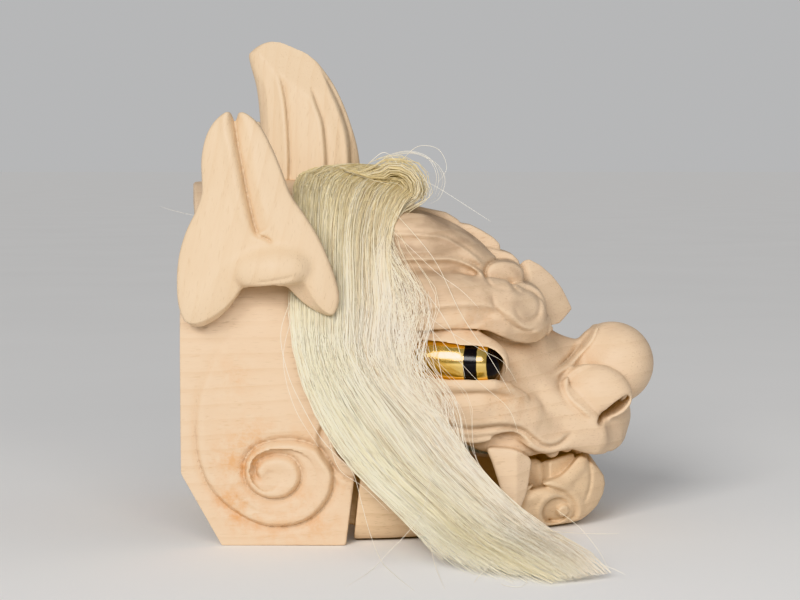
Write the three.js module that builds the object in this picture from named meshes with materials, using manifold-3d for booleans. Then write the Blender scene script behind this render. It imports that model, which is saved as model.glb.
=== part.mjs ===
// Carved wooden lion dance head with a hinged lower jaw, a horn, two ears, two gilt eyes and a horsehair mane.
// Millimetres. +X is where the lion looks, +Y is its left side, +Z is up.
// The origin is on the ground, under the middle of the object's box.
import * as THREE from "three";
import { mergeVertices } from "three/addons/utils/BufferGeometryUtils.js";
import Module from "manifold-3d";

const wasm = await Module();
wasm.setup();

// ---------------------------------------------------------------- driving sizes
const GAP = 0.35; // left between pieces that meet
const WALL = 14; // thickness of the carved shell
const REAR_X = -144; // plane of the open back
const HOLLOW_FRONT_X = 46; // how far forward the hollow reaches
const ARCH_POINTS = 9; // points on half of a shell section

const PIVOT = { x: -106.5, z: 24 }; // axis of the jaw
const ROD_R = 6; // the dowel that the jaw turns on
const ROD_HALF = 89; // half its length, into blind holes in both walls
const ROD_CLEAR = 0.5; // round the dowel, in the jaw's arms
const ARM = { inner: 66, outer: 78.0, halfHeight: 13 }; // the jaw's two arms inside the head

const SLIT = { headTop: -41.3, headBottom: -47.2, jawTop: -38.3, jawBottom: -43.6 }; // front edge of the cheek panel, rear edge of the jaw
const CORNER = { x: -40, z: 61.5, r: 14 }; // the round corner of the mouth

const EYE = { x: 7, y: 72, z: 106.5, long: 39, round: 18, turnDeg: 17 }; // a long gilt ball that looks forward and a little outward
const EYE_CLEAR = 0.6;

const EAR = { y: 111, depth: 11, bevel: 3, leanDeg: 4, pegR: 9, pegX: -92, pegZ: 160 };
const NOSTRIL = { x: 122, y: 33, z: 76, r: 7.5, length: 26 };

// ---------------------------------------------------------------- the shell's sections, from back to front
// x: place; top: roof; mid: height of the widest point; wide: half width there; foot: half width at the ground; square: 2 is an ellipse, more is boxier
const SKULL = [
  { x: -144, top: 212, mid: 92, wide: 95.0, foot: 93.5, square: 2.8 },
  { x: -110, top: 214, mid: 90, wide: 96.5, foot: 94.5, square: 2.8 },
  { x: -75, top: 213, mid: 88, wide: 97.5, foot: 95.0, square: 2.7 },
  { x: -40, top: 208, mid: 86, wide: 98.0, foot: 95.0, square: 2.6 },
  { x: -12, top: 199, mid: 84, wide: 93.0, foot: 94.0, square: 2.4 },
  { x: 15, top: 187, mid: 80, wide: 86.0, foot: 90.0, square: 2.3 },
  { x: 40, top: 170, mid: 74, wide: 76.0, foot: 82.0, square: 2.2 },
  { x: 62, top: 147, mid: 68, wide: 66.0, foot: 72.0, square: 2.2 },
  { x: 82, top: 122, mid: 62, wide: 55.0, foot: 60.0, square: 2.2 },
  { x: 100, top: 104, mid: 58, wide: 41.0, foot: 44.0, square: 2.3 },
  { x: 112, top: 88, mid: 56, wide: 24.0, foot: 26.0, square: 2.3 },
];

// the lower edge of the upper jaw, from the mouth's corner forward
const UPPER_LIP = [
  { x: -40, z: 75.5 }, { x: -22, z: 73 }, { x: 0, z: 66 }, { x: 18, z: 58 }, { x: 29, z: 55 },
  { x: 38, z: 59 }, { x: 50, z: 59 }, { x: 58.6, z: 56.2 }, { x: 64.3, z: 52.3 }, { x: 70.4, z: 49.5 },
  { x: 80, z: 49 }, { x: 90, z: 49 }, { x: 97, z: 46 }, { x: 103, z: 43.4 }, { x: 160, z: 43.4 },
];
// the upper edge of the lower jaw
const LOWER_LIP = [
  { x: -40, z: 47.5 }, { x: -28, z: 47 }, { x: -8, z: 41 }, { x: 14, z: 34 }, { x: 36, z: 29.5 },
  { x: 56, z: 28 }, { x: 70, z: 29 }, { x: 80, z: 31.5 }, { x: 88, z: 35 }, { x: 95, z: 39.5 }, { x: 101, z: 41.8 }, { x: 160, z: 41.8 },
];

// outer sections of the lower jaw. wide: half width at the rim; keel: half width of the flat underneath; low: underside; mid: where the sides start to turn in
const JAW = [
  { x: -50, wide: 92.5, keel: 78, low: 0.6, mid: 26 },
  { x: -20, wide: 91.0, keel: 74, low: 0.6, mid: 26 },
  { x: 15, wide: 84.0, keel: 62, low: 0.6, mid: 26 },
  { x: 45, wide: 73.0, keel: 48, low: 0.6, mid: 27 },
  { x: 70, wide: 61.5, keel: 38, low: 0.6, mid: 28 },
  { x: 88, wide: 49.0, keel: 27, low: 0.8, mid: 28 },
  { x: 101, wide: 35.0, keel: 15, low: 6.0, mid: 28 },
  { x: 109.5, wide: 18.0, keel: 7, low: 15.0, mid: 30 },
];
const JAW_WALL = 17, JAW_FLOOR = 12;

// the horn, from its foot up. back and front: where it starts and ends along X; thick: half thickness across
const HORN = [
  { z: 196, back: -102, front: -40, thick: 21 },
  { z: 226, back: -102.5, front: -41, thick: 20 },
  { z: 250, back: -103, front: -47, thick: 18 },
  { z: 270, back: -105, front: -55.5, thick: 15 },
  { z: 285, back: -108, front: -65.5, thick: 11.5 },
  { z: 294, back: -107, front: -75.5, thick: 8 },
  { z: 299.5, back: -102, front: -87, thick: 4 },
];

// outline of an ear seen from the side, clockwise from its tip
const EAR_OUTLINE = [
  { x: -104.5, z: 252 }, { x: -93, z: 243 }, { x: -84, z: 222 }, { x: -76, z: 203 }, { x: -62, z: 181 },
  { x: -52, z: 156 }, { x: -51, z: 140 }, { x: -58, z: 136.5 }, { x: -68, z: 145 }, { x: -75, z: 155 },
  { x: -99, z: 152.5 }, { x: -107, z: 151 }, { x: -118, z: 138 }, { x: -130, z: 129.5 }, { x: -140, z: 135 },
  { x: -143, z: 156 }, { x: -139, z: 180 }, { x: -129, z: 200 }, { x: -127, z: 224 }, { x: -119, z: 245 },
];

// one side of the mane, from its parting on the crown to its tips on the ground
// out: direction that its flat side faces (x, y, z); half: half its width; thick: half its thickness
const MANE = [
  { x: -33, y: 2, z: 215, out: [0.1, 0, 1], half: 41, thick: 11 },
  { x: -33, y: -30, z: 212, out: [0.1, -0.15, 1], half: 41, thick: 12 },
  { x: -35, y: -62, z: 199, out: [0.05, -0.6, 1], half: 37, thick: 12 },
  { x: -40, y: -87, z: 178, out: [0, -1, 0.7], half: 32, thick: 11 },
  { x: -46, y: -100, z: 150, out: [0, -1, 0.3], half: 30, thick: 8.5 },
  { x: -47, y: -107, z: 122, out: [0, -1, 0.1], half: 32, thick: 8 },
  { x: -37, y: -110, z: 92, out: [0, -1, 0.1], half: 34, thick: 9 },
  { x: -19, y: -115, z: 64, out: [0, -1, 0.15], half: 33, thick: 10 },
  { x: 3, y: -126, z: 40, out: [-0.1, -1, 0.4], half: 32, thick: 11 },
  { x: 30, y: -145, z: 22, out: [-0.2, -0.7, 1], half: 29, thick: 10 },
  { x: 56, y: -168, z: 11, out: [-0.1, -0.3, 1], half: 25, thick: 7 },
  { x: 82, y: -192, z: 5.5, out: [0, -0.1, 1], half: 18, thick: 3.5 },
];

// ---------------------------------------------------------------- helpers
const loader = (geometry) => {
  const g = geometry.index ? geometry.toNonIndexed() : geometry.clone();
  for (const name of ["normal", "uv", "uv1"]) g.deleteAttribute(name);
  const merged = mergeVertices(g, 1e-4);
  return new wasm.Manifold(
    new wasm.Mesh({
      numProp: 3,
      vertProperties: new Float32Array(merged.attributes.position.array),
      triVerts: new Uint32Array(merged.index.array),
    }),
  );
};
const unload = (manifold) => {
  const mesh = manifold.getMesh();
  const positions = new Float32Array(mesh.numVert * 3);
  for (let i = 0; i < mesh.numVert; i++)
    for (let k = 0; k < 3; k++) positions[i * 3 + k] = mesh.vertProperties[i * mesh.numProp + k];
  const g = new THREE.BufferGeometry();
  g.setAttribute("position", new THREE.BufferAttribute(positions, 3));
  g.setIndex(new THREE.BufferAttribute(new Uint32Array(mesh.triVerts), 1));
  g.computeVertexNormals();
  return g;
};

// A closed skin through rings of equal length, with flat ends.
function loft(rings) {
  const n = rings[0].length, points = rings.flat(), index = [];
  for (let s = 0; s + 1 < rings.length; s++)
    for (let i = 0; i < n; i++) {
      const a = s * n + i, b = s * n + ((i + 1) % n), c = a + n, d = b + n;
      index.push(a, b, d, a, d, c);
    }
  const last = (rings.length - 1) * n;
  for (let i = 1; i + 1 < n; i++) {
    index.push(0, i + 1, i);
    index.push(last, last + i, last + i + 1);
  }
  const g = new THREE.BufferGeometry();
  g.setAttribute("position", new THREE.BufferAttribute(new Float32Array(points.flatMap((p) => [p.x, p.y, p.z])), 3));
  g.setIndex(index);
  const made = loader(g);
  if (made.volume() > 0) return made;
  const turned = [];
  for (let i = 0; i < index.length; i += 3) turned.push(index[i], index[i + 2], index[i + 1]);
  g.setIndex(turned);
  return loader(g);
}

// Rows in between, evened out with a smooth curve through each named column.
function smoothRows(rows, steps) {
  const keys = Object.keys(rows[0]).filter((k) => typeof rows[0][k] === "number");
  const out = [];
  for (let i = 0; i < rows.length - 1; i++)
    for (let j = 0; j < steps; j++) {
      const t = j / steps, row = {};
      const p = [rows[Math.max(0, i - 1)], rows[i], rows[i + 1], rows[Math.min(rows.length - 1, i + 2)]];
      for (const k of keys)
        row[k] = 0.5 * (2 * p[1][k] + (p[2][k] - p[0][k]) * t + (2 * p[0][k] - 5 * p[1][k] + 4 * p[2][k] - p[3][k]) * t * t + (3 * p[1][k] - p[0][k] - 3 * p[2][k] + p[3][k]) * t * t * t);
      if (rows[i].out) row.out = rows[i].out.map((v, k) => v + (rows[i + 1].out[k] - v) * t);
      out.push(row);
    }
  out.push(rows[rows.length - 1]);
  return out;
}

// One section of the skull: up the side from the ground, over the roof and down again.
function arch(row, inset, footZ) {
  const wide = row.wide - inset, top = row.top - inset, foot = row.foot - inset, half = [];
  half.push([foot, footZ], [(foot + wide) / 2, row.mid * 0.5]);
  for (let i = 0; i <= ARCH_POINTS; i++) {
    const a = (i / ARCH_POINTS) * (Math.PI / 2);
    half.push([wide * Math.cos(a) ** (2 / row.square), row.mid + (top - row.mid) * Math.sin(a) ** (2 / row.square)]);
  }
  half[half.length - 1][0] = 0;
  const ring = half.map(([y, z]) => new THREE.Vector3(row.x, y, z));
  for (let i = half.length - 2; i >= 0; i--) ring.push(new THREE.Vector3(row.x, -half[i][0], half[i][1]));
  return ring;
}
const skullSolid = (inset, from, to, footZ) => {
  const rows = smoothRows(SKULL, inset > 1 ? 1 : 2).map((r) => ({ ...r, x: Math.min(Math.max(r.x, from), to) }));
  const kept = rows.filter((r, i) => i === 0 || r.x > rows[i - 1].x);
  kept[0].x = from;
  return loft(kept.map((r) => arch(r, inset, footZ)));
};

// A flat outline in the side view, given a width across Y.
function slab(outline, yFrom, yTo) {
  const shape = new THREE.Shape(outline.map((p) => new THREE.Vector2(p.x, p.z)));
  const g = new THREE.ExtrudeGeometry(shape, { depth: yTo - yFrom, bevelEnabled: false, steps: 1 });
  g.rotateX(Math.PI / 2); // the outline's up becomes +Z, its depth becomes -Y
  g.translate(0, yTo, 0);
  return loader(g);
}
function ball(at, size, detail = 14, turn = [0, 0, 0]) {
  const g = new THREE.SphereGeometry(1, detail, Math.round(detail * 0.7));
  g.scale(...size);
  g.rotateX((turn[0] * Math.PI) / 180).rotateY((turn[1] * Math.PI) / 180).rotateZ((turn[2] * Math.PI) / 180);
  g.translate(...at);
  return loader(g);
}
function rodAlongY(x, z, r, yFrom, yTo, sides = 28) {
  const g = new THREE.CylinderGeometry(r, r, yTo - yFrom, sides);
  g.translate(x, (yFrom + yTo) / 2, z);
  return loader(g);
}
const mirrorY = (s) => s.mirror([0, 1, 0]);
const both = (s) => s.add(mirrorY(s));

// ---------------------------------------------------------------- upper head
const cornerArc = (r, from, to, n = 10) =>
  Array.from({ length: n + 1 }, (_, i) => {
    const a = ((from + ((to - from) * i) / n) * Math.PI) / 180;
    return { x: CORNER.x + r * Math.cos(a), z: CORNER.z + r * Math.sin(a) };
  });
// everything below this line is the mouth and the jaw's place
const belowUpperLip = [
  { x: SLIT.headBottom - 0.4, z: -10 }, { x: SLIT.headTop, z: CORNER.z - CORNER.r - 1 },
  ...cornerArc(CORNER.r, 262, 90, 9).slice(0, -1),
  ...UPPER_LIP, { x: 160, z: -10 },
];

const brow = both(
  ball([20, -66, 135], [52, 27, 17], 12, [12, 10, -16]).add(ball([56, -48, 134], [30, 24, 16], 10, [0, 22, 34])),
);
const crest = ball([46, 0, 160], [48, 30, 12], 12, [0, 34, 0]).add(ball([76, 0, 139], [18, 34, 15], 12, [0, 40, 0]));
const cheek = both(ball([14, -72, 76], [48, 22, 18], 12, [0, 6, 14]).add(ball([62, -48, 64], [32, 24, 18], 10, [0, 8, 38])));
const nose = ball([118.3, 0, 98], [26, 30, 26], 16, [0, 20, 0])
  .add(ball([92, 0, 90], [38, 27, 26], 12, [0, -4, 0]))
  .add(both(ball([106, -33, 84], [21, 15, 17], 10, [0, 20, 0])))
  .add(ball([100, 0, 58], [30, 38, 19], 12));
const fang = both(
  loft([
    [37, 63, 54, 0], [39, 62.5, 40, 0], [43, 61, 28, 0], [48, 59, 18, 0], [51.5, 56.5, 12.5, 0],
  ].map(([back, front, z], i, all) => {
    const n = 10, deep = 6 - i * 0.8;
    return Array.from({ length: n }, (_, k) => {
      const a = (k / n) * 2 * Math.PI;
      return new THREE.Vector3((back + front) / 2 + ((front - back) / 2) * Math.cos(a), -80.5 + deep * Math.sin(a), i === 0 ? 64 : z);
    });
  })),
);
const earPeg = (extra, inner, outer) =>
  loader(new THREE.CylinderGeometry(EAR.pegR + extra, EAR.pegR + extra, outer - inner, 20).translate(EAR.pegX, -(inner + outer) / 2, EAR.pegZ));
const eyeSolid = (clear) =>
  ball([EYE.x, -EYE.y, EYE.z], [EYE.long + clear, EYE.round + clear, EYE.round + clear], 14, [0, 0, -EYE.turnDeg]);

const skullOuter = skullSolid(0, REAR_X, 120, 0);
let head = skullOuter.add(brow).add(crest).add(cheek).add(nose);
head = head.subtract(slab(belowUpperLip, -140, 140)).add(fang);
head = head
  .subtract(skullSolid(WALL, REAR_X - 20, HOLLOW_FRONT_X, -20))
  .subtract(slab([{ x: -170, z: -5 }, { x: -170, z: 43 }, { x: REAR_X - 0.01, z: 43 }, { x: -120, z: 0 }, { x: -118, z: -5 }], -140, 140))
  .subtract(both(eyeSolid(EYE_CLEAR)))
  .subtract(both(earPeg(GAP, 86, 140)))
  .subtract(both(rodAlongY(PIVOT.x, PIVOT.z, ROD_R + GAP, -(ROD_HALF + GAP), -60)))
  .subtract(both(ball([NOSTRIL.x, -NOSTRIL.y, NOSTRIL.z], [NOSTRIL.length / 2, NOSTRIL.r * 0.8, NOSTRIL.r], 10, [0, 35, -20])));
// the hollow must not break through round the eyes
const eyePocket = both(ball([EYE.x, -EYE.y, EYE.z], [EYE.long + 7, EYE.round + 7, EYE.round + 7], 12, [0, 0, -EYE.turnDeg]));
head = head.add(eyePocket.intersect(skullSolid(4, -60, 60, 0)).subtract(both(eyeSolid(EYE_CLEAR))));
head = head.decompose().sort((a, b) => b.volume() - a.volume())[0];

// ---------------------------------------------------------------- lower jaw
function keelRing(row, inset) {
  const w = row.wide - inset, k = Math.max(2, row.keel - inset), low = row.low + (inset ? JAW_FLOOR : 0), half = [];
  half.push([0, low], [k, low]);
  for (let i = 1; i <= 5; i++) {
    const a = (i / 5) * (Math.PI / 2);
    half.push([k + (w - k) * Math.sin(a), row.mid - (row.mid - low) * Math.cos(a)]);
  }
  half.push([w * 0.985, 90]);
  const ring = half.map(([y, z]) => new THREE.Vector3(row.x, y, z));
  for (let i = half.length - 1; i > 0; i--) ring.push(new THREE.Vector3(row.x, -half[i][0], half[i][1]));
  return ring;
}
const jawRows = smoothRows(JAW, 2);
const aboveLowerLip = [{ x: -80, z: 100 }, { x: -80, z: CORNER.z - CORNER.r }, ...LOWER_LIP, { x: 160, z: 100 }];
const behindSlit = [{ x: -80, z: -5 }, { x: SLIT.jawBottom, z: -5 }, { x: SLIT.jawTop, z: CORNER.z - CORNER.r + 2 }, { x: -80, z: 100 }];
let jaw = loft(jawRows.map((r) => keelRing(r, 0)))
  .subtract(loft(jawRows.filter((r) => r.x < 88).map((r) => keelRing({ ...r, x: r.x < -49 ? -70 : r.x }, JAW_WALL))))
  .subtract(slab(aboveLowerLip, -130, 130))
  .subtract(slab(behindSlit, -130, 130));
const armOutline = [
  { x: PIVOT.x, z: PIVOT.z + ARM.halfHeight }, ...Array.from({ length: 9 }, (_, i) => {
    const a = ((90 + (i + 1) * 18) * Math.PI) / 180;
    return { x: PIVOT.x + ARM.halfHeight * Math.cos(a), z: PIVOT.z + ARM.halfHeight * Math.sin(a) };
  }),
  { x: PIVOT.x, z: PIVOT.z - ARM.halfHeight }, { x: -30, z: 9 }, { x: -18, z: 12 }, { x: -18, z: 36 }, { x: -32, z: 41 },
];
jaw = jaw.add(both(slab(armOutline, -ARM.outer, -ARM.inner)));
// two lower corner teeth that stand inside the lip
jaw = jaw.add(both(ball([80, -47, 34], [9.5, 6, 14], 14, [0, 10, 30])).intersect(slab([{ x: 0, z: 10 }, { x: 0, z: 47.6 }, { x: 120, z: 47.6 }, { x: 120, z: 10 }], -60, 60)));
jaw = jaw.subtract(both(rodAlongY(PIVOT.x, PIVOT.z, ROD_R + ROD_CLEAR, -90, -50)));
jaw = jaw.decompose().sort((a, b) => b.volume() - a.volume())[0];

// ---------------------------------------------------------------- rod, eyes, horn, ears, mane
const rod = rodAlongY(PIVOT.x, PIVOT.z, ROD_R, -ROD_HALF, ROD_HALF, 24);

const hornSolid = loft(
  smoothRows(HORN, 2).map((r) =>
    Array.from({ length: 16 }, (_, i) => {
      const a = (i / 16) * 2 * Math.PI;
      return new THREE.Vector3((r.back + r.front) / 2 + ((r.front - r.back) / 2) * Math.cos(a), r.thick * Math.sin(a), r.z);
    }),
  ),
).subtract(skullSolid(-GAP, REAR_X, 120, 0));

function earSolid(room = 0) {
  const corners = EAR_OUTLINE.map((r) => new THREE.Vector2(r.x, r.z));
  const line = new THREE.SplineCurve([...corners, corners[0]]).getPoints(44).slice(0, -1);
  const g = new THREE.ExtrudeGeometry(new THREE.Shape(line), {
    depth: EAR.depth - 2 * EAR.bevel, bevelEnabled: true, bevelThickness: EAR.bevel + room, bevelSize: EAR.bevel, bevelOffset: room - EAR.bevel, bevelSegments: 1, steps: 1,
  });
  g.rotateX(Math.PI / 2).translate(0, EAR.depth / 2 - EAR.bevel, 0);
  g.translate(0, 0, -EAR.pegZ).rotateX((EAR.leanDeg * Math.PI) / 180).translate(0, -(EAR.y + EAR.depth / 2), EAR.pegZ);
  return loader(g)
    .add(ball([-87, -(EAR.y + EAR.depth), 163], [21, 9, 13], 12, [0, -8, 0])) // the boss over the peg
    .add(earPeg(0, 86 + GAP, EAR.y + 6));
}
const ear = earSolid();

function maneSolid() {
  const rows = smoothRows(MANE, 2), n = 12;
  const at = rows.map((r) => new THREE.Vector3(r.x, r.y, r.z));
  return loft(
    rows.map((r, i) => {
      const along = at[Math.min(i + 1, at.length - 1)].clone().sub(at[Math.max(i - 1, 0)]).normalize();
      if (i === 0) along.set(0, -1, 0);
      const out = new THREE.Vector3(...r.out).addScaledVector(along, -new THREE.Vector3(...r.out).dot(along)).normalize();
      const side = new THREE.Vector3().crossVectors(out, along).normalize();
      return Array.from({ length: n }, (_, k) => {
        const a = (k / n) * 2 * Math.PI, c = Math.cos(a), s = Math.sin(a);
        return at[i].clone()
          .addScaledVector(side, r.half * Math.sign(c) * Math.abs(c) ** 0.8)
          .addScaledVector(out, r.thick * Math.sign(s) * Math.abs(s) ** 0.7);
      });
    }),
  );
}
const ground = slab([{ x: -200, z: -60 }, { x: -200, z: 0.3 }, { x: 200, z: 0.3 }, { x: 200, z: -60 }], -260, 0);
const jawSweep = slab([{ x: -60, z: -60 }, { x: -60, z: 78 }, { x: 130, z: 78 }, { x: 130, z: -60 }], -98, 0);
const earRoom = earSolid(GAP);
const hornRoom = hornSolid.add(hornSolid.translate([GAP, 0, 0])).add(hornSolid.translate([GAP, GAP, 0])).add(hornSolid.translate([GAP, -GAP, 0]));
const mane = both(
  maneSolid().subtract(ground).subtract(jawSweep),
)
  .subtract(skullSolid(-GAP, REAR_X, 112, 0))
  .subtract(skullSolid(4, REAR_X - 5, 112, -40))
  .subtract(both(earRoom))
  .subtract(brow.add(cheek).add(crest))
  .subtract(hornRoom)
  .decompose()
  .sort((a, b) => b.volume() - a.volume())[0];

// ---------------------------------------------------------------- the scene
const wood = (colour) => new THREE.MeshStandardMaterial({ color: colour, roughness: 0.62, metalness: 0 });
const CARVED = wood(0xdcb78f), GILT = new THREE.MeshStandardMaterial({ color: 0xd9a441, roughness: 0.16, metalness: 1 });
const HAIR = new THREE.MeshStandardMaterial({ color: 0xe3ddb8, roughness: 0.5, metalness: 0 });
const root = new THREE.Group();
function put(name, manifold, material) {
  const mesh = new THREE.Mesh(unload(manifold), material.clone());
  mesh.name = name;
  root.add(mesh);
}
put("upper_head", head, CARVED);
put("lower_jaw", jaw, CARVED);
put("jaw_rod", rod, wood(0xc9a078));
put("horn", hornSolid, CARVED);
put("right_ear", ear, CARVED);
put("left_ear", mirrorY(ear), CARVED);
put("right_eye", eyeSolid(0), GILT);
put("left_eye", mirrorY(eyeSolid(0)), GILT);
put("mane", mane, HAIR);

export default root;
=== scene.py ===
import math

import bpy
import numpy as np
import openvdb
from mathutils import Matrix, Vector


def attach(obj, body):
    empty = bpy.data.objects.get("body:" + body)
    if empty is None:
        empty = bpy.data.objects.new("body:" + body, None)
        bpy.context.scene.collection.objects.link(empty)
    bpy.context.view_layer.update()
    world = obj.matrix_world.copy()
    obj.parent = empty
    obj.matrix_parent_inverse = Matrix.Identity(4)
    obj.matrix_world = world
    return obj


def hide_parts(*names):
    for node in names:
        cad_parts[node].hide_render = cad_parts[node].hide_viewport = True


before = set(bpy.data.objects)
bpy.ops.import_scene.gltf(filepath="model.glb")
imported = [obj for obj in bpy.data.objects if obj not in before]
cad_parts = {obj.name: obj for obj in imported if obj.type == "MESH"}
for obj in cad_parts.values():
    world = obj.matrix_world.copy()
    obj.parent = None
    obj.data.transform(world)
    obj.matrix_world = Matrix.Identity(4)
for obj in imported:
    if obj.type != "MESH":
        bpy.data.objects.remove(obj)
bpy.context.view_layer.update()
VOXEL = 1.0
MM = 0.001

# ---------------------------------------------------------------- camera first
camera_data = bpy.data.cameras.new("camera")
camera = bpy.data.objects.new("camera", camera_data)
bpy.context.scene.collection.objects.link(camera)
camera_data.sensor_width = 36.0
camera_data.lens = 36.0 * 1905.0 / 800.0
camera.location = (-0.0155, -1.1971, 0.2214)
camera.rotation_euler = (math.radians(86.0), 0, 0)
bpy.context.scene.camera = camera
bpy.context.scene.view_settings.view_transform = "Khronos PBR Neutral"


# ---------------------------------------------------------------- fields of distance
def smin(a, b, k):
    h = np.clip(0.5 + 0.5 * (b - a) / k, 0.0, 1.0)
    return b + (a - b) * h - k * h * (1.0 - h)


def smax(a, b, k):
    return -smin(-a, -b, k)


def step(a, b, v):
    t = np.clip((v - a) / (b - a), 0.0, 1.0)
    return t * t * (3.0 - 2.0 * t)


class Field:
    """A distance field on a grid, in millimetres, negative inside."""

    def __init__(self, low, high, h):
        self.h = h
        self.low = np.array(low, float)
        self.axes = [np.arange(low[i], high[i] + 1e-6, h, dtype=np.float32) for i in range(3)]
        if abs(high[1]) < 1e-9:  # a half field, whose last row lies on the mirror plane
            n = int(round((high[1] - low[1]) / h))
            self.axes[1] = (np.arange(n + 1, dtype=np.float32) - n) * h
            self.low[1] = self.axes[1][0]
        self.f = np.full([len(a) for a in self.axes], 30.0, np.float32)

    def cut_out(self, low, high):
        s = []
        for a, lo, hi in zip(self.axes, low, high):
            i, j = np.searchsorted(a, lo), np.searchsorted(a, hi)
            s.append(slice(max(0, i - 1), min(len(a), j + 1)))
        X = self.axes[0][s[0]][:, None, None]
        Y = self.axes[1][s[1]][None, :, None]
        Z = self.axes[2][s[2]][None, None, :]
        return tuple(s), X, Y, Z

    def join(self, shape, k=2.0):
        s, X, Y, Z = self.cut_out(*shape["box"](k + 3 * self.h))
        self.f[s] = smin(self.f[s], shape["d"](X, Y, Z).astype(np.float32), k)

    def carve(self, shape, k=1.0):
        s, X, Y, Z = self.cut_out(*shape["box"](k + 3 * self.h))
        self.f[s] = smax(self.f[s], -shape["d"](X, Y, Z).astype(np.float32), k)

    def swell(self, height):
        """height: an array over X and Z, or over the whole grid, that the skin moves out by."""
        if height.ndim == 2:
            height = height[:, None, :]
        self.f -= height.astype(np.float32)

    def side(self):
        return self.axes[0][:, None] + 0 * self.axes[2][None, :], self.axes[2][None, :] + 0 * self.axes[0][:, None]


def ellipsoid(at, r, turn=(0, 0, 0)):
    a, b, c = [math.radians(t) for t in turn]
    rx = np.array([[1, 0, 0], [0, math.cos(a), -math.sin(a)], [0, math.sin(a), math.cos(a)]])
    ry = np.array([[math.cos(b), 0, math.sin(b)], [0, 1, 0], [-math.sin(b), 0, math.cos(b)]])
    rz = np.array([[math.cos(c), -math.sin(c), 0], [math.sin(c), math.cos(c), 0], [0, 0, 1]])
    M = (rz @ ry @ rx).T
    big = max(r)

    def d(X, Y, Z):
        p = [X - at[0], Y - at[1], Z - at[2]]
        q = [M[i][0] * p[0] + M[i][1] * p[1] + M[i][2] * p[2] for i in range(3)]
        k0 = np.sqrt(sum((q[i] / r[i]) ** 2 for i in range(3)))
        k1 = np.sqrt(sum((q[i] / (r[i] * r[i])) ** 2 for i in range(3))) + 1e-9
        return k0 * (k0 - 1.0) / k1

    return {"d": d, "box": lambda m: ([at[i] - big - m for i in range(3)], [at[i] + big + m for i in range(3)])}


def chain(points, bulge=1.0):
    """Round cones joined end to end. points: x, y, z, r."""
    P = np.array(points, float)

    def d(X, Y, Z):
        best = None
        for a, b in zip(P[:-1], P[1:]):
            e = b[:3] - a[:3]
            t = np.clip(((X - a[0]) * e[0] + (Y - a[1]) * e[1] + (Z - a[2]) * e[2]) / (e @ e), 0, 1)
            v = np.sqrt((X - a[0] - t * e[0]) ** 2 + (Y - a[1] - t * e[1]) ** 2 + (Z - a[2] - t * e[2]) ** 2) - (a[3] + t * (b[3] - a[3]))
            best = v if best is None else np.minimum(best, v)
        return best

    lo, hi = (P[:, :3] - P[:, 3:]).min(0), (P[:, :3] + P[:, 3:]).max(0)
    return {"d": d, "box": lambda m: (lo - m, hi + m)}


def curve(points, n=6, closed=False):
    """A smooth line through the points, as an array."""
    P = np.array(points, float)
    m = len(P)
    out = []
    for i in range(m if closed else m - 1):
        p = [P[(i + k) % m] if closed else P[min(max(i + k, 0), m - 1)] for k in (-1, 0, 1, 2)]
        for j in range(n):
            t = j / n
            out.append(0.5 * (2 * p[1] + (p[2] - p[0]) * t + (2 * p[0] - 5 * p[1] + 4 * p[2] - p[3]) * t * t + (3 * p[1] - p[0] - 3 * p[2] + p[3]) * t**3))
    if not closed:
        out.append(P[-1])
    return np.array(out)


def to_line(x, z, line):
    """Distance to a line in the side view, the place along it from 0 to 1, and the signed distance, positive on its left."""
    x, z = np.asarray(x, np.float32), np.asarray(z, np.float32)
    seg = np.linalg.norm(line[1:] - line[:-1], axis=1)
    s0 = np.concatenate([[0], np.cumsum(seg)])
    best = np.full(np.broadcast(x, z).shape, 1e9, np.float32)
    where, sign = np.zeros_like(best), np.ones_like(best)
    for i in range(len(seg)):
        if seg[i] < 1e-6:
            continue
        a, e = line[i], line[i + 1] - line[i]
        t = np.clip(((x - a[0]) * e[0] + (z - a[1]) * e[1]) / (seg[i] ** 2), 0, 1)
        dx, dz = x - a[0] - t * e[0], z - a[1] - t * e[1]
        d = dx * dx + dz * dz
        better = d < best
        best = np.where(better, d, best)
        where = np.where(better, (s0[i] + t * seg[i]) / s0[-1], where)
        sign = np.where(better, np.sign(e[0] * dz - e[1] * dx + 1e-9), sign)
    best = np.sqrt(best)
    return best, where, best * sign


def inside(x, z, line):
    """Signed distance to a closed outline in the side view, negative inside."""
    closed = np.vstack([line, line[:1]])
    d, _, _ = to_line(x, z, closed)
    hit = np.zeros(d.shape, bool)
    for a, b in zip(closed[:-1], closed[1:]):
        if a[1] == b[1]:
            continue
        crosses = ((z >= a[1]) != (z >= b[1])) & (x < (b[0] - a[0]) * (z - a[1]) / (b[1] - a[1]) + a[0])
        hit ^= crosses
    return np.where(hit, -d, d)


def rows(table, at, names):
    """Smooth columns of a table of sections at the given places."""
    key = list(table[0])
    T = np.array([[r[k] for k in key] for r in table], float)
    dense = curve(T, 10)
    return [np.interp(at, dense[:, 0], dense[:, key.index(n)]).astype(np.float32) for n in names]


def true_distance(f, h):
    g = np.gradient(f, h)
    return f / np.maximum(np.sqrt(g[0] ** 2 + g[1] ** 2 + g[2] ** 2), 0.25)


def blurred(f, n):
    """Box blur of a field, n cells each way, along each axis in turn."""
    for a in range(3):
        pad = [(0, 0)] * 3
        pad[a] = (n + 1, n)
        c = np.cumsum(np.pad(f, pad, mode="edge"), axis=a, dtype=np.float64)
        m = f.shape[a]
        hi = np.take(c, np.arange(2 * n + 1, 2 * n + 1 + m), axis=a)
        f = ((hi - np.take(c, np.arange(0, m), axis=a)) / (2 * n + 1)).astype(np.float32)
    return f


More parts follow.
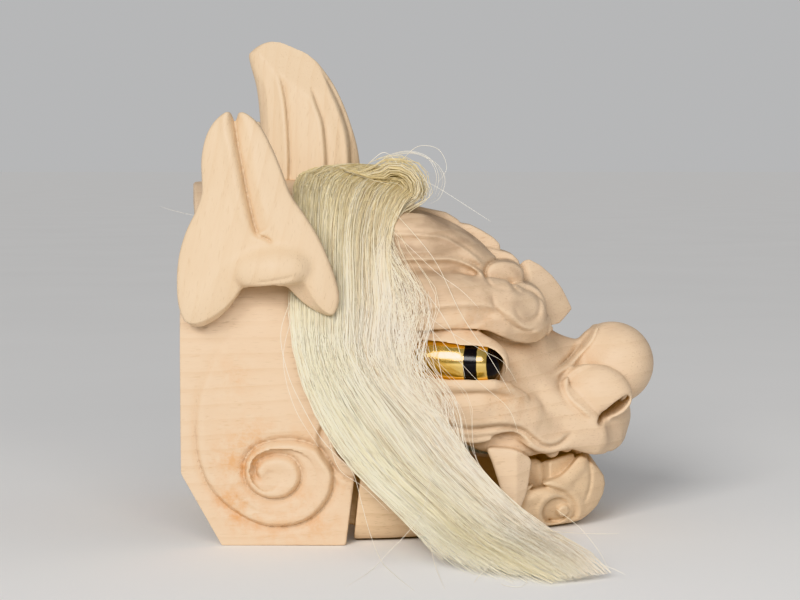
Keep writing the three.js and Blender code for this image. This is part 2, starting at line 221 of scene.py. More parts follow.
def sampled(f, low, h, p):
    """Values of a field at points, in millimetres."""
    q = np.clip((p - low) / h, 0, np.array(f.shape) - 1.001)
    i = q.astype(int)
    t = q - i
    out = 0
    for a in (0, 1):
        for b in (0, 1):
            for c in (0, 1):
                w = (t[:, 0] if a else 1 - t[:, 0]) * (t[:, 1] if b else 1 - t[:, 1]) * (t[:, 2] if c else 1 - t[:, 2])
                out = out + w * f[i[:, 0] + a, i[:, 1] + b, i[:, 2] + c]
    return out


# where the bare wood has taken on an orange-brown stain, in the side view: x, z, reach, how strongly; the last three,
# round the eye, are an orange painted reflection of the gilt eye
STAINS_AND_EYE_REFLECTION = [(-99, 63, 12, 1.0), (-113, 52, 13, 0.9), (-104, 44, 7, 1.0), (-116, 27, 10, 0.9), (-106, 17, 11, 1.0), (-84, 10, 12, 0.6), (-62, 12, 11, 0.7), (-75, 29, 7, 0.7), (-113, 100, 12, 0.5), (-50, 36, 7, 0.5), (-70, 66, 12, 0.35), (50, 84, 14, 0.5), (26, 128, 16, 0.4), (58, 104, 14, 0.5)]


# darker streaks of the grain in the brow and forehead, and some painted shade: under the brow (27, 133 to 46, 128) and
# on the concave bridge in front of the eye (66, 101 to 80, 92); in the side view: from x, z to x, z, half width, how
# strongly
GRAIN_STREAKS_AND_SHADE = [(2, 191, 11, 189, 4.0, 1.0), (5.7, 170, 27, 179, 3.5, 0.6), (-20, 176, -3, 171, 4.5, 0.6), (-8, 160, 18, 161, 2.6, 0.8), (36, 180, 46, 172, 3.5, 0.4), (50, 163, 56, 157, 2.6, 0.6), (27, 133, 46, 128, 5.0, 0.4), (66, 101, 80, 92, 7.0, 0.55), (34, 148, 40, 139, 3.0, 0.6), (54, 140, 62, 132, 5.0, 0.35), (-10, 205, 40, 176, 3.0, 0.35), (-30, 150, 30, 152, 5.0, 0.22), (30, 70, 52, 66, 3.5, 0.5), (96, 60, 112, 74, 4.0, 0.35), (80, 60, 108, 60, 9.0, 0.35)]


def layers(ob, f, low, h):
    """Stores on each point how far it lies in a groove (below 0) or on an edge (above 0), how dark it is from grain
    streaks and painted shade, and how much stain and painted reflection of the eye it carries.
    """
    me = ob.data
    co = np.empty(len(me.vertices) * 3, np.float32)
    me.vertices.foreach_get("co", co)
    p = co.reshape(-1, 3) / MM
    n = max(1, int(round(2.2 / h)))
    # below 0 this darkens the grooves in the material as painted shade and dust; above 0 it pales the edges as wear
    groove_shade_and_wear = me.attributes.new("groove_shade_and_wear", "FLOAT", "POINT")
    groove_shade_and_wear.data.foreach_set("value", sampled(blurred(np.clip(f, -5, 5), n), low, h, p).astype(np.float32))
    hue = sum(k * np.exp(-(((p[:, 0] - x) ** 2 + (p[:, 2] - z) ** 2) / r**2)) for x, z, r, k in STAINS_AND_EYE_REFLECTION)
    dark = np.zeros(len(p), np.float32)
    for x0, z0, x1, z1, r, k in GRAIN_STREAKS_AND_SHADE:
        ex, ez = x1 - x0, z1 - z0
        t = np.clip(((p[:, 0] - x0) * ex + (p[:, 2] - z0) * ez) / (ex * ex + ez * ez), 0, 1)
        dark = np.maximum(dark, k * np.exp(-(((p[:, 0] - x0 - t * ex) ** 2 + (p[:, 2] - z0 - t * ez) ** 2) / r**2)))
    # painted shade: two broad patches darken the forehead and the crown above it, which face up, away from the key
    # light
    dark += 0.62 * np.exp(-(((p[:, 0] - 14) / 44) ** 2 + ((p[:, 2] - 160) / 30) ** 2))
    dark += 0.50 * np.exp(-(((p[:, 0] + 2) / 34) ** 2 + ((p[:, 2] - 186) / 16) ** 2))
    streak_and_shade = me.attributes.new("streak_and_shade", "FLOAT", "POINT")
    streak_and_shade.data.foreach_set("value", (dark * step(6, 20, np.abs(p[:, 1]))).astype(np.float32))
    stain_and_reflection = me.attributes.new("stain_and_reflection", "FLOAT", "POINT")
    stain_and_reflection.data.foreach_set("value", (np.clip(hue, 0, 1) * step(50, 70, np.abs(p[:, 1]))).astype(np.float32))


def mesh_from(field, name, mirrored, most, smooth=1):
    """Skins a field. A half field is mirrored in the plane y = 0. most: the most triangles the piece may have."""
    f, low = field.f, field.low.copy()
    if mirrored:
        f = np.concatenate([f, f[:, -2::-1, :]], axis=1)
    whole = f
    f = np.clip(f, -4 * field.h, 4 * field.h)
    grid = openvdb.FloatGrid(background=float(4 * field.h))
    grid.copyFromArray(np.ascontiguousarray(f))
    points, quads = grid.convertToQuads(0.0)
    points = np.asarray(points, float) * field.h + low
    me = bpy.data.meshes.new(name)
    quads = np.asarray(quads, np.int32)[:, ::-1]
    me.vertices.add(len(points))
    me.vertices.foreach_set("co", (points * MM).astype(np.float32).ravel())
    me.loops.add(quads.size)
    me.loops.foreach_set("vertex_index", quads.ravel())
    me.polygons.add(len(quads))
    me.polygons.foreach_set("loop_start", np.arange(0, quads.size, 4, dtype=np.int32))
    me.polygons.foreach_set("use_smooth", np.ones(len(quads), bool))
    me.update(calc_edges=True)
    me.validate()
    ob = bpy.data.objects.new(name, me)
    bpy.context.scene.collection.objects.link(ob)
    if smooth:
        m = ob.modifiers.new("even", "SMOOTH")
        m.factor, m.iterations = 0.5, smooth
    if 2 * len(quads) > most:
        m = ob.modifiers.new("fewer", "DECIMATE")
        m.ratio = most / (2.0 * len(quads))
    apply_all(ob)
    layers(ob, whole, low, field.h)
    return ob


def apply_all(ob):
    bpy.context.view_layer.update()
    deps = bpy.context.evaluated_depsgraph_get()
    me = bpy.data.meshes.new_from_object(ob.evaluated_get(deps))
    ob.modifiers.clear()
    old, ob.data = ob.data, me
    bpy.data.meshes.remove(old)
    me.name = ob.name
    me.polygons.foreach_set("use_smooth", np.ones(len(me.polygons), bool))
    return ob


def mirrored_copy(ob, name):
    me = ob.data.copy()
    co = np.empty(len(me.vertices) * 3, np.float32)
    me.vertices.foreach_get("co", co)
    co[1::3] *= -1
    me.vertices.foreach_set("co", co)
    me.flip_normals()
    me.update()
    new = bpy.data.objects.new(name, me)
    bpy.context.scene.collection.objects.link(new)
    return new


# ---------------------------------------------------------------- tables of the carved head (mm)
SKULL = [
    {"x": -144, "top": 212, "mid": 92, "wide": 95.0, "foot": 93.5, "square": 2.8},
    {"x": -110, "top": 214, "mid": 90, "wide": 96.5, "foot": 94.5, "square": 2.8},
    {"x": -75, "top": 213, "mid": 88, "wide": 97.5, "foot": 95.0, "square": 2.7},
    {"x": -40, "top": 208, "mid": 86, "wide": 97.5, "foot": 95.0, "square": 2.6},
    {"x": -12, "top": 198, "mid": 84, "wide": 92.0, "foot": 94.0, "square": 2.4},
    {"x": 15, "top": 184, "mid": 80, "wide": 83.0, "foot": 88.0, "square": 2.3},
    {"x": 40, "top": 164, "mid": 74, "wide": 71.0, "foot": 78.0, "square": 2.2},
    {"x": 62, "top": 139, "mid": 68, "wide": 58.0, "foot": 66.0, "square": 2.2},
    {"x": 82, "top": 116, "mid": 62, "wide": 47.0, "foot": 54.0, "square": 2.2},
    {"x": 100, "top": 100, "mid": 58, "wide": 36.0, "foot": 42.0, "square": 2.3},
    {"x": 112, "top": 84, "mid": 56, "wide": 24.0, "foot": 28.0, "square": 2.3},
]
WALL = 14.0
REAR = -144.0
PIVOT = (-106.5, 24.0)
EYE_AT, EYE_TURN = (7.0, -72.0, 106.5), 17.0
UPPER_LIP = [(-40, 75.5), (-22, 73), (0, 66), (18, 60), (29, 58), (38.2, 59.5), (46.5, 60.1), (54.2, 58.9), (61.4, 54.1), (68, 49.6), (72.8, 48.9), (80.5, 50.2), (88.3, 51), (94.2, 48.5), (101, 46.3), (108, 45.2), (160, 45.2)]
LOWER_LIP = [(-60, 47.5), (-40, 47.5), (-28, 47), (-8, 41), (14, 34), (36, 29.5), (56, 28.4), (62.8, 29.4), (71.9, 30.4), (81.5, 34.0), (86.5, 37.6), (90.2, 41.2), (92.8, 43.9), (95.2, 44.9), (97.6, 44.0), (100.5, 42.6), (104, 41.8), (130, 41.8)]

SCROLL = [(-106, 141), (-112, 131), (-115.1, 125.3), (-122.7, 112.6), (-129.8, 98.0), (-133.9, 82.8), (-134.6, 67.0), (-133.6, 53.0), (-129.0, 38.3), (-120.4, 26.5), (-108.8, 17.7), (-95.4, 11.8), (-82.0, 11.3), (-70.3, 14.7), (-61.0, 22.4), (-55.1, 33.0), (-54.5, 44.1), (-58.5, 53.0), (-66.1, 59.4), (-77.7, 62.3), (-89.3, 61.7), (-99.2, 58.2), (-105.1, 51.8), (-106.3, 44.1), (-105.2, 37.1), (-100.5, 31.2), (-92.4, 27.7), (-83.7, 28.3), (-77.2, 32.4), (-73.7, 38.9), (-74.3, 45.9), (-78.9, 51.8), (-86.5, 53.5), (-94.6, 51.8), (-99.3, 47.1), (-99.3, 41.8), (-95.3, 37.1)]
BROW_A = [(-60, 176), (-40, 180), (-20.8, 182.0), (-11.4, 182.0), (-2.6, 181.4), (9.8, 179.6), (19.8, 174.3), (28.0, 168.4), (35.7, 162.6)]
BROW_B = [(-60, 158), (-40, 163), (-22.5, 165.6), (-10.2, 167.4), (2.1, 167.2), (15.6, 166.8), (24.4, 163.8), (31.5, 159.6), (36.4, 155.4)]
BROW_C = [(-60, 126), (-40, 133), (-21.4, 137.7), (-12.6, 138.8), (-7.3, 139.4), (6.2, 140.6), (23.2, 141.8), (35.5, 140.6), (44.3, 137.7), (51.9, 132.9), (58, 127), (66, 123.5), (74, 125)]
BROW_LEAF = [(10, 127.0), (20, 127.6), (29, 130.2), (37, 134.2), (45, 137.0)]
BROW_LOW = [(-60, 112), (-40, 119), (-15.5, 124.2), (6.2, 126.4), (23.2, 126.8), (35.5, 124.9), (44.3, 120.6), (54.9, 116.4), (66.6, 115.3), (72.5, 120.0), (74.2, 125.9)]
EYE_OPENING = [(-40, 117), (-22, 119.6), (-7, 120.4), (7.2, 119.6), (21.8, 117.6), (34, 116.6), (40, 114.2), (44.0, 110.4), (46.2, 105.5), (45.8, 99.5), (42.5, 95.0), (30, 93), (0, 92), (-40, 92)]
LIP_GROOVE = [(-39, 39.3), (-48.5, 41.2), (-56.3, 47.9), (-60.6, 54.4), (-62.1, 61.5), (-60.9, 68.7), (-56, 76.5), (-48, 82), (-38, 83.8), (-22, 82), (-4, 76), (14, 69.5), (26, 67.2), (36.8, 67.8), (42.8, 68.4), (49.9, 67.6), (57.7, 64.6), (63.0, 60.2), (69.0, 55.4), (74.4, 53.9), (80.3, 55.0), (85.7, 58.4), (91.6, 62.2)]
WRINKLE_1 = [(108, 126), (104.6, 121.7), (101.5, 116.1), (96.0, 109.3), (91.2, 104.4), (85.6, 100.7), (74.6, 95.7)]
WRINKLE_2 = [(101, 119), (97.5, 114.3), (90.2, 106.3), (82.8, 101.3), (74.1, 97.0)]
WING_RING = [(120, 100), (109.8, 102.0), (100.1, 101.0), (92.8, 98.2), (87.2, 93.3), (85.3, 87.3), (88.5, 81.0), (94.5, 75.5), (103, 68)]
CREST = [(-30, 205.5), (-18, 202.2), (-8, 199.2), (-5.5, 196.9), (1.5, 195.3), (13.4, 192.9), (20.9, 188.4), (22.2, 186.4), (28.6, 185.3), (36, 181.6), (42.9, 177.4), (46.7, 173.4), (47.2, 168.4), (38, 162), (18, 174), (0, 184), (-30, 194)]
CREST_2 = [(38, 172), (47.0, 169.4), (50.5, 168.7), (54.6, 167.0), (58.2, 163.4), (59.6, 158.6), (52, 150), (38, 156)]
PLATE = [(60.0, 160.2), (62.6, 162.8), (66.0, 163.4), (73, 159.6), (80.1, 153.4), (86.3, 145.6), (90.2, 138.0), (92.9, 132.2), (89.0, 128.6), (83.8, 124.2), (77, 123.5), (66, 124), (58, 132), (56, 146)]
CURL_TOP = [(35.8, 158.6), (37.6, 162.2), (42, 164.4), (49.3, 164.6), (55.2, 163.0), (59.2, 159.0), (60.0, 154.0), (57.4, 150.0), (51, 148.6), (43.5, 149.4), (38.6, 152.6), (36.2, 155.4)]
CURL_LOW = [(41, 147.5), (48, 150.2), (56, 151.6), (63.5, 150.6), (69.6, 146.6), (73.2, 140.4), (73.4, 133.0), (69.4, 127.0), (61.5, 124.6), (53.5, 127.0), (46.6, 132.0), (41.5, 138.6), (39.8, 143.6)]
CURL_EDGE_TOP = [(41, 149.5), (37.6, 152.6), (35.4, 157), (37.2, 162.0), (42, 164.8), (49.3, 165.2), (55.2, 163.4), (59.6, 159.2)]
CURL_EDGE_LOW = [(39.5, 149), (39.2, 143.5), (41.0, 138.4), (46.2, 131.8), (53.2, 126.6), (61.5, 123.8), (69.6, 126.2)]
CURL_BETWEEN = [(39, 149.5), (44, 149.2), (51, 148.4), (57.4, 149.4), (63.6, 151.2)]
PLATE_EDGE = [(60.4, 159.6), (61.2, 154), (64.5, 150.6), (70.4, 146.8), (74.2, 140.4), (74.4, 133.0), (71, 127)]
CURL_LINE = [(39.4, 156.2), (45, 157.2), (49.6, 154.6), (52.2, 149.6), (56.8, 146.4), (61.8, 147.6), (66.6, 144.2), (68.4, 138.2), (66.2, 132.2), (60.6, 130.0), (55.4, 132.4), (52.6, 137.2), (54.2, 141.8)]
FRONT = [(-300, -40), (112, -40), (112, 42), (115.9, 42.2), (123.2, 46.6), (128, 50.4), (131.4, 55.6), (130.4, 60.5), (131.1, 65.1), (137.0, 73.6), (146, 79), (170, 84), (170, 300), (-300, 300)]
FANG = [(36.4, 54.2), (44, 55.0), (52, 54.0), (58.5, 50.6), (62.8, 46.4), (62.3, 40.6), (60.5, 29.2), (57.4, 20.8), (54.5, 14.5), (51.5, 13.5), (48, 18.5), (43.1, 33.8), (39.5, 45)]

# the lower jaw's sections: half width at the rim, half width of the flat underneath, underside, where the sides turn in
JAW = [
    {"x": -50, "wide": 92.3, "keel": 78, "low": 0.6, "mid": 26},
    {"x": -20, "wide": 90.5, "keel": 74, "low": 0.6, "mid": 26},
    {"x": 15, "wide": 83.0, "keel": 62, "low": 0.6, "mid": 26},
    {"x": 45, "wide": 72.0, "keel": 48, "low": 0.6, "mid": 27},
    {"x": 70, "wide": 61.0, "keel": 38, "low": 0.6, "mid": 28},
    {"x": 88, "wide": 49.0, "keel": 27, "low": 0.8, "mid": 28},
    {"x": 101, "wide": 39.0, "keel": 22, "low": 2.6, "mid": 28},
    {"x": 113, "wide": 25.0, "keel": 14, "low": 9.0, "mid": 29},
]
JAW_SIDE = [(-160, 0.6), (90.5, 0.6), (94.8, 2.4), (100.3, 5.7), (107.0, 11.6), (110.8, 18.6), (112.0, 25.0), (111.0, 30.2), (107.6, 35.2), (102.3, 40.4), (99.3, 43.8), (97.2, 46.5), (92, 60), (-160, 60)]
JAW_LINE = [(54.5, 13.5), (56.7, 19.7), (59.7, 25.0), (64.3, 28.0), (69.4, 28.7), (74.4, 28.1), (81.6, 25.1), (88.0, 20.0), (91.4, 13.4), (91.0, 7.0), (86.5, 2.8)]
JAW_SCROLL_AT, JAW_SCROLL_R = (79.5, 12.2), 9.6
CHIN_LINE = [(99.4, 44), (100.9, 39), (101.6, 33), (101.2, 26), (99.2, 19.5), (95.5, 13.5)]

HORN = [
    {"z": 192, "back": -102, "front": -40, "thick": 21},
    {"z": 226, "back": -102.5, "front": -41, "thick": 20},
    {"z": 250, "back": -103, "front": -47, "thick": 18},
    {"z": 270, "back": -105, "front": -55.5, "thick": 15},
    {"z": 284, "back": -108.6, "front": -65, "thick": 11.5},
    {"z": 290.5, "back": -109.8, "front": -71.5, "thick": 9.5},
    {"z": 293, "back": -108.4, "front": -74.5, "thick": 8.5},
    {"z": 296.5, "back": -104, "front": -79.5, "thick": 6.5},
    {"z": 299.5, "back": -98, "front": -87, "thick": 3.5},
]
FLUTE_0 = [(-103.5, 282), (-98.9, 272), (-97.4, 262), (-96.9, 250.6), (-96.2, 235), (-95.7, 219.3), (-95.7, 195)]
FLUTES = [
    [(-92.9, 286.5), (-89.8, 278.6), (-86.8, 266.1), (-85, 251.8), (-83.8, 231.9), (-83.8, 216.2), (-84, 195)],
    [(-73.6, 280.4), (-71.1, 272.4), (-66.8, 259.9), (-63.1, 249.3), (-61.2, 235), (-60.6, 222.5), (-60.4, 195)],
    [(-67.5, 286.4), (-59.4, 272.6), (-52.6, 258.2), (-47.9, 243), (-46.2, 228), (-45.6, 215), (-45.4, 195)],
]

EAR = [(-111.8, 252.3), (-115.4, 251.2), (-120.8, 246.4), (-125.4, 238.0), (-128.0, 226), (-128.0, 214), (-128.2, 205.5), (-132.0, 195.5), (-137.6, 184), (-141.6, 170.5), (-143.0, 156), (-142.2, 142), (-138.6, 132.8), (-132.2, 129.5), (-124.6, 131.8), (-115.5, 138.6), (-108.6, 147.6), (-104.4, 153.4), (-99, 152.4), (-84.5, 153.9), (-81.0, 153.4), (-77.2, 149.4), (-72.0, 144.1), (-65.8, 139.7), (-59.7, 136.8), (-55.3, 136.0), (-52.0, 139.2), (-50.4, 148.3), (-54.4, 163.5), (-61.6, 180.5), (-69.6, 193.8), (-77.6, 205.6), (-82.6, 219), (-88.4, 233), (-95.2, 245.2), (-102.4, 251.4), (-106.8, 252.0), (-109.0, 248.0)]
EAR_GROOVE = [(-109.8, 256), (-109.2, 247), (-108.2, 239.9), (-106, 227.5), (-103.2, 211.5), (-100.2, 196.3), (-97.6, 186.1), (-95.9, 182.4)]
EAR_SLIT = [(-96.4, 182.6), (-92.7, 181.4), (-89.9, 179.9), (-87, 177.1)]
EAR_LEAN = math.tan(math.radians(4))


def skull_field(F, inset, front=1e9):
    """The plain shell: sides up to its widest line, and a squarish arch over it."""
    x = F.axes[0]
    top, mid, wide, foot, square = [a[:, None, None] for a in rows(SKULL, x, ["top", "mid", "wide", "foot", "square"])]
    top, wide, foot = top - inset, wide - inset, foot - inset
    y, z = np.abs(F.axes[1])[None, :, None], F.axes[2][None, None, :]
    up = np.clip((z - mid) / (top - mid), 0, 9)
    arch = ((y / wide) ** square + up**square) ** (1.0 / square)
    over = (arch - 1.0) * wide
    lower = y - (foot + (wide - foot) * step(0.0, 1.0, np.clip(z / mid, 0, 1)))
    f = np.where(z >= mid, over, lower)
    f = true_distance(f.astype(np.float32), F.h)
    if front < 1e8:
        f = smax(f, np.broadcast_to(F.axes[0][:, None, None] - front, f.shape), 6.0)
    return f


def block(F, outline, inner, outer, r, n=4, smooth_line=True, keel=None):
    """An outline of the side view given a width across, from inner to outer |y|, with rounded edges."""
    sx, sz = F.side()
    d2 = inside(sx, sz, curve(outline, n, True) if smooth_line else np.array(outline, float))[:, None, :]
    y = np.abs(F.axes[1])[None, :, None]
    if callable(outer):
        outer = outer(F.axes[0])[:, None, None]
    half, mid = (outer - inner) / 2.0, (outer + inner) / 2.0
    if keel is not None:
        half = np.minimum(half, keel[:, None, :])
    dy = np.abs(y - mid) - half
    a, b = d2 + r, dy + r
    return (np.minimum(np.maximum(a, b), 0) + np.sqrt(np.maximum(a, 0) ** 2 + np.maximum(b, 0) ** 2) - r).astype(np.float32)


def build_head():
    F = Field((-150, -110, -4), (150, 0, 232), VOXEL)
    X, Y, Z = F.axes[0][:, None, None], F.axes[1][None, :, None], F.axes[2][None, None, :]
    sx, sz = F.side()
    F.f = skull_field(F, 0.0)
    F.f = smax(F.f, X - 112.0 + 0 * F.f, 12.0)
    # brow and forehead
    F.join(chain([(-44, -74, 142, 15), (-10, -72, 142, 17), (20, -70, 142, 17), (42, -62, 138, 17), (57, -50, 132.5, 16), (64, -40, 128, 12)]), 10)
    F.join(chain([(-44, -77, 130, 12), (-10, -77.5, 132, 13), (20, -76, 132.5, 13), (42, -68, 129.5, 12), (56, -57, 125.0, 10.5), (68, -45, 123.0, 8)]), 6)
    F.join(chain([(-30, -54, 178, 18), (-5, -54, 175, 18.5), (18, -46, 166, 16), (34, -36, 156, 14)]), 10)
    F.join(ellipsoid((10, -20, 172), (34, 22, 16), (0, 24, 0)), 8)
    # cheeks and lips
    F.join(chain([(-26, -74, 76, 19), (4, -71, 74.5, 19.5), (38, -64, 73.5, 19), (55, -56, 70, 17.5), (68, -49, 62, 14), (74, -46, 56, 9)]), 6)
    F.join(chain([(20, -74, 62, 8), (40, -70, 62, 8.5), (60, -63, 57, 8), (74, -56, 54.5, 7.5), (88, -49, 56, 7.5), (101, -40, 53.5, 9), (113, -20, 51.5, 9.5), (116, 0, 51.5, 10)]), 5)
    # bridge, nose, wings
    F.join(chain([(60, 0, 96, 22), (80, 0, 94, 21), (100, 0, 91, 21)]), 8)
    F.join(chain([(72, -40, 70, 13), (86, -37, 66, 13), (98, -33, 62, 13)]), 8)
    F.join(ellipsoid((103, 0, 66), (27, 37, 24)), 6)
    F.join(chain([(74, -43, 77, 11), (86, -40, 71, 11), (97, -36, 63, 11)]), 8)
    F.join(ellipsoid((118.3, 0, 98), (26, 30, 26), (0, 20, 0)), 2.5)
    F.join(ellipsoid((106.2, -33, 83.6), (21.5, 14.5, 16.5), (0, 18, 0)), 3.0)
    F.join(chain([(85, -41, 90, 3.0), (88, -44, 83, 3.4), (94, -46, 76.5, 3.6), (102, -45, 68, 3.6), (106.5, -43, 60, 3.4), (107.5, -41, 54, 3)]), 3)

    side = step(20, 50, np.abs(Y)).astype(np.float32)
    # three tiers of the brow: each crest is gentle above and undercut below, with a fine cut over it
    relief = np.zeros_like(sx)
    for line, high, up, down, cut in ((BROW_A, 2.0, 7, 1.6, 1.1), (BROW_B, 3.0, 8, 1.9, 1.6), (BROW_C, 2.6, 8, 2.6, 0.0)):
        d, t, s = to_line(sx, sz, curve(line))
        ends = step(0, 0.08, t) * step(1.0, 0.93, t)
        crest = np.where(s > 0, np.exp(-((d / up) ** 1.2)), np.exp(-((d / down) ** 1.5)))
        relief += (high * crest - 0.35 * high * np.exp(-((s + 5.5) / 4.0) ** 2)) * ends
        relief -= cut * np.exp(-((s - 1.6) / 1.1) ** 2) * ends
        relief -= 0.3 * high * np.exp(-(((s - 9) / 5.5) ** 2)) * ends
    d, t, s = to_line(sx, sz, curve(BROW_LEAF))
    relief -= np.where(s > 0, 1.5 * np.exp(-((d / 5.0) ** 2)), 1.5 * np.exp(-((d / 1.6) ** 2))) * step(0, 0.3, t) * step(1.0, 0.75, t)
    F.f -= relief[:, None, :] * side

    # stepped scales on the midline, the pointed plate over the nose and the curls beside it
    F.f = smin(F.f, block(F, CREST, -12, 12, 2.0, 1, False), 2.2)
    F.f = smin(F.f, block(F, CREST_2, -16, 16, 2.0, 1, False), 1.0)
    for outline, wide, lean, start, high, k in ((CURL_LOW, 64.0, 0.52, 42, 4.0, 1.2), (CURL_TOP, 58.0, 0.5, 37, 3.2, 0.8)):
        deep = np.clip(-inside(sx, sz, curve(outline, 4, True)), 0, 40)
        outer = wide - lean * np.clip(sx - start, 0, 40) - high * np.exp(-deep / 4.5)
        F.f = smin(F.f, block(F, outline, 0, outer[:, None, :], 2.4), k)
    front = to_line(sx, sz, np.array(PLATE[:8], float))[0]
    F.f = smin(F.f, block(F, PLATE, -30, 30, 0.6, 1, False, keel=0.8 + 1.3 * front), 0.6)
    cuts = np.zeros_like(sx)
    for line, deep, wide in ((CURL_EDGE_TOP, 1.3, 0.9), (CURL_EDGE_LOW, 1.2, 0.9), (CURL_BETWEEN, 0.8, 0.9), (PLATE_EDGE, 1.2, 1.0)):
        d, t, s = to_line(sx, sz, curve(line))
        cuts += deep * np.exp(-((d / wide) ** 1.6)) * step(0, 0.12, t) * step(1.0, 0.88, t)
    d, t, s = to_line(sx, sz, curve(CURL_LINE))
    cuts += 1.3 * np.exp(-((d / 1.5) ** 1.7)) * step(0.05, 0.25, t) * step(1.0, 0.85, t)
    F.f += cuts[:, None, :] * step(22, 34, np.abs(Y))
    F.join(chain([(43, -62, 139, 2.4), (50, -60, 133, 2.6), (59, -55, 127.4, 2.8), (68, -47, 123.6, 2.8), (76, -36, 122.8, 2.2)]), 1.6)

    # the eye's socket, the lid over it and the cheek's level edge under it
    d, t, s = to_line(sx, sz, curve(BROW_LOW))
    lid = ellipsoid((7.0, -72.0, 107), (44.2, 19.3, 21.9), (0, 0, -17))["d"](X, Y, Z)
    sides_ = np.maximum(np.maximum(90.0 - Z, X - 47.0 - 0.3 * (Z - 106)), np.maximum(52.0 + 11.0 * step(16, 38, X) - np.abs(Y), -34.0 - X))
    hood = smax(np.maximum(s[:, None, :], -lid), sides_ + 0 * lid, 2.0)
    F.f = smax(F.f, -hood.astype(np.float32), 0.9)
    ball = ellipsoid((7, -72.2, 106.7), (40.8, 18.8, 18.7), (0, 0, -17))
    F.carve(ball, 0.8)
    opening = np.maximum(inside(sx, sz, curve(EYE_OPENING, 4, True))[:, None, :], 70.0 + 0.30 * (X - 7) - np.abs(Y))
    F.f = smax(F.f, -opening.astype(np.float32), 0.8)
    under_brow = 4.2 * np.exp(-((d / 7.0) ** 2)) * step(0.7, -0.7, s) * step(30, 42, sx) * step(78, 68, sx)
    F.f += under_brow[:, None, :] * step(30, 42, np.abs(Y))
    F.join(chain([(-30, -84, 90.5, 5.5), (-10, -86.6, 92.0, 5.2), (8, -88.0, 94.2, 4.6), (24, -89.2, 94.4, 4.3), (38, -86.0, 93.6, 4.0), (48, -78, 90.4, 4.0), (57, -68, 84.0, 4.0)]), 2.5)
    F.join(chain([(-30, -80, 83, 11.0), (4, -79.5, 82.5, 11.8), (30, -77.0, 82.0, 11.8), (47, -68, 79, 11), (58, -59.5, 74, 9)]), 4.0)

    # nose creases and the ring round the wing
    d, t, s = to_line(sx, sz, curve(WRINKLE_1))
    crease = 4.4 * np.exp(-((d / 1.15) ** 1.5)) * step(1.0, 0.62, t)
    lip = 2.4 * np.exp(-((s - 2.7) / 1.5) ** 2) * step(1.0, 0.7, t) - 1.6 * np.exp(-((s - 9.0) / 5.0) ** 2) * step(1.0, 0.8, t)
    d, t, s = to_line(sx, sz, curve(WRINKLE_2))
    fold = 1.2 * np.exp(-((d / 1.2) ** 1.6)) * step(1.0, 0.6, t) * step(0, 0.12, t)
    F.f -= (lip - crease - 0.8 * fold)[:, None, :] * step(72, 62, np.abs(Y)) * step(3, 14, np.abs(Y))
    d, t, s = to_line(sx, sz, curve(WING_RING))
    ring = 2.0 * np.exp(-((d / 1.7) ** 2)) * step(0, 0.3, t) * step(1.0, 0.85, t)
    hollow = 0.7 * np.exp(-((s + 3.4) / 1.6) ** 2) * step(0, 0.2, t) * step(1.0, 0.9, t)
    F.f -= (ring - hollow)[:, None, :] * step(20, 32, np.abs(Y))
    for x0, z0, r0 in ((107.5, 66.2, 2.2), (111.5, 69.2, 3.1), (115.5, 72.0, 3.8), (119.0, 74.6, 4.0), (122.0, 76.8, 3.3), (123.6, 77.9, 2.4)):
        F.carve(chain([(x0, -56, z0 - 1.6, r0), (x0 - 2.5, -17, z0 + 5.5, r0)]), 2.2)

    # the scroll on the cheek panel and the line round the mouth's corner
    flank = step(70, 84, np.abs(Y)).astype(np.float32)
    d, t, s = to_line(sx, sz, curve(SCROLL))
    fade = step(0.0, 0.08, t) * step(1.0, 0.985, t)
    deep = (2.6 * step(0.03, 0.30, t) + 1.2 * step(0.3, 0.45, t) + 0.5) * fade
    v = deep * np.exp(-((d / np.where(s > 0, 1.5, 2.6)) ** 1.5))
    shoulder = np.where(s > 0, 0.62 * deep * np.exp(-((d - 3.6) / 5.0) ** 2), 0.0)
    F.f -= (shoulder - v)[:, None, :] * flank
    d, t, s = to_line(sx, sz, curve(LIP_GROOVE))
    line = (2.6 * np.exp(-((d / 1.35) ** 1.6)) - 0.9 * np.exp(-((s - 3.2) / 2.0) ** 2)) * step(1.0, 0.95, t)
    second = 0.9 * np.exp(-((s + 5.2) / 1.0) ** 2) * step(0.42, 0.5, t) * step(0.95, 0.85, t)
    F.f += (line + second)[:, None, :] * step(30, 44, np.abs(Y))

    # the mouth is cut away; the fang and the small upper teeth stand behind the lip
    arc = [(-40 + 14 * math.cos(math.radians(a)), 61.5 + 14 * math.sin(math.radians(a))) for a in range(262, 89, -8)]
    mouth = np.array([(-47.2, -12), (-47.2, 0), (-41.3, 46.5)] + arc + UPPER_LIP[1:] + [(160, -12)], float)
    d = inside(sx, sz, mouth)
    lipped = smax(F.f, -d[:, None, :].astype(np.float32) + 0 * F.f, 1.2)
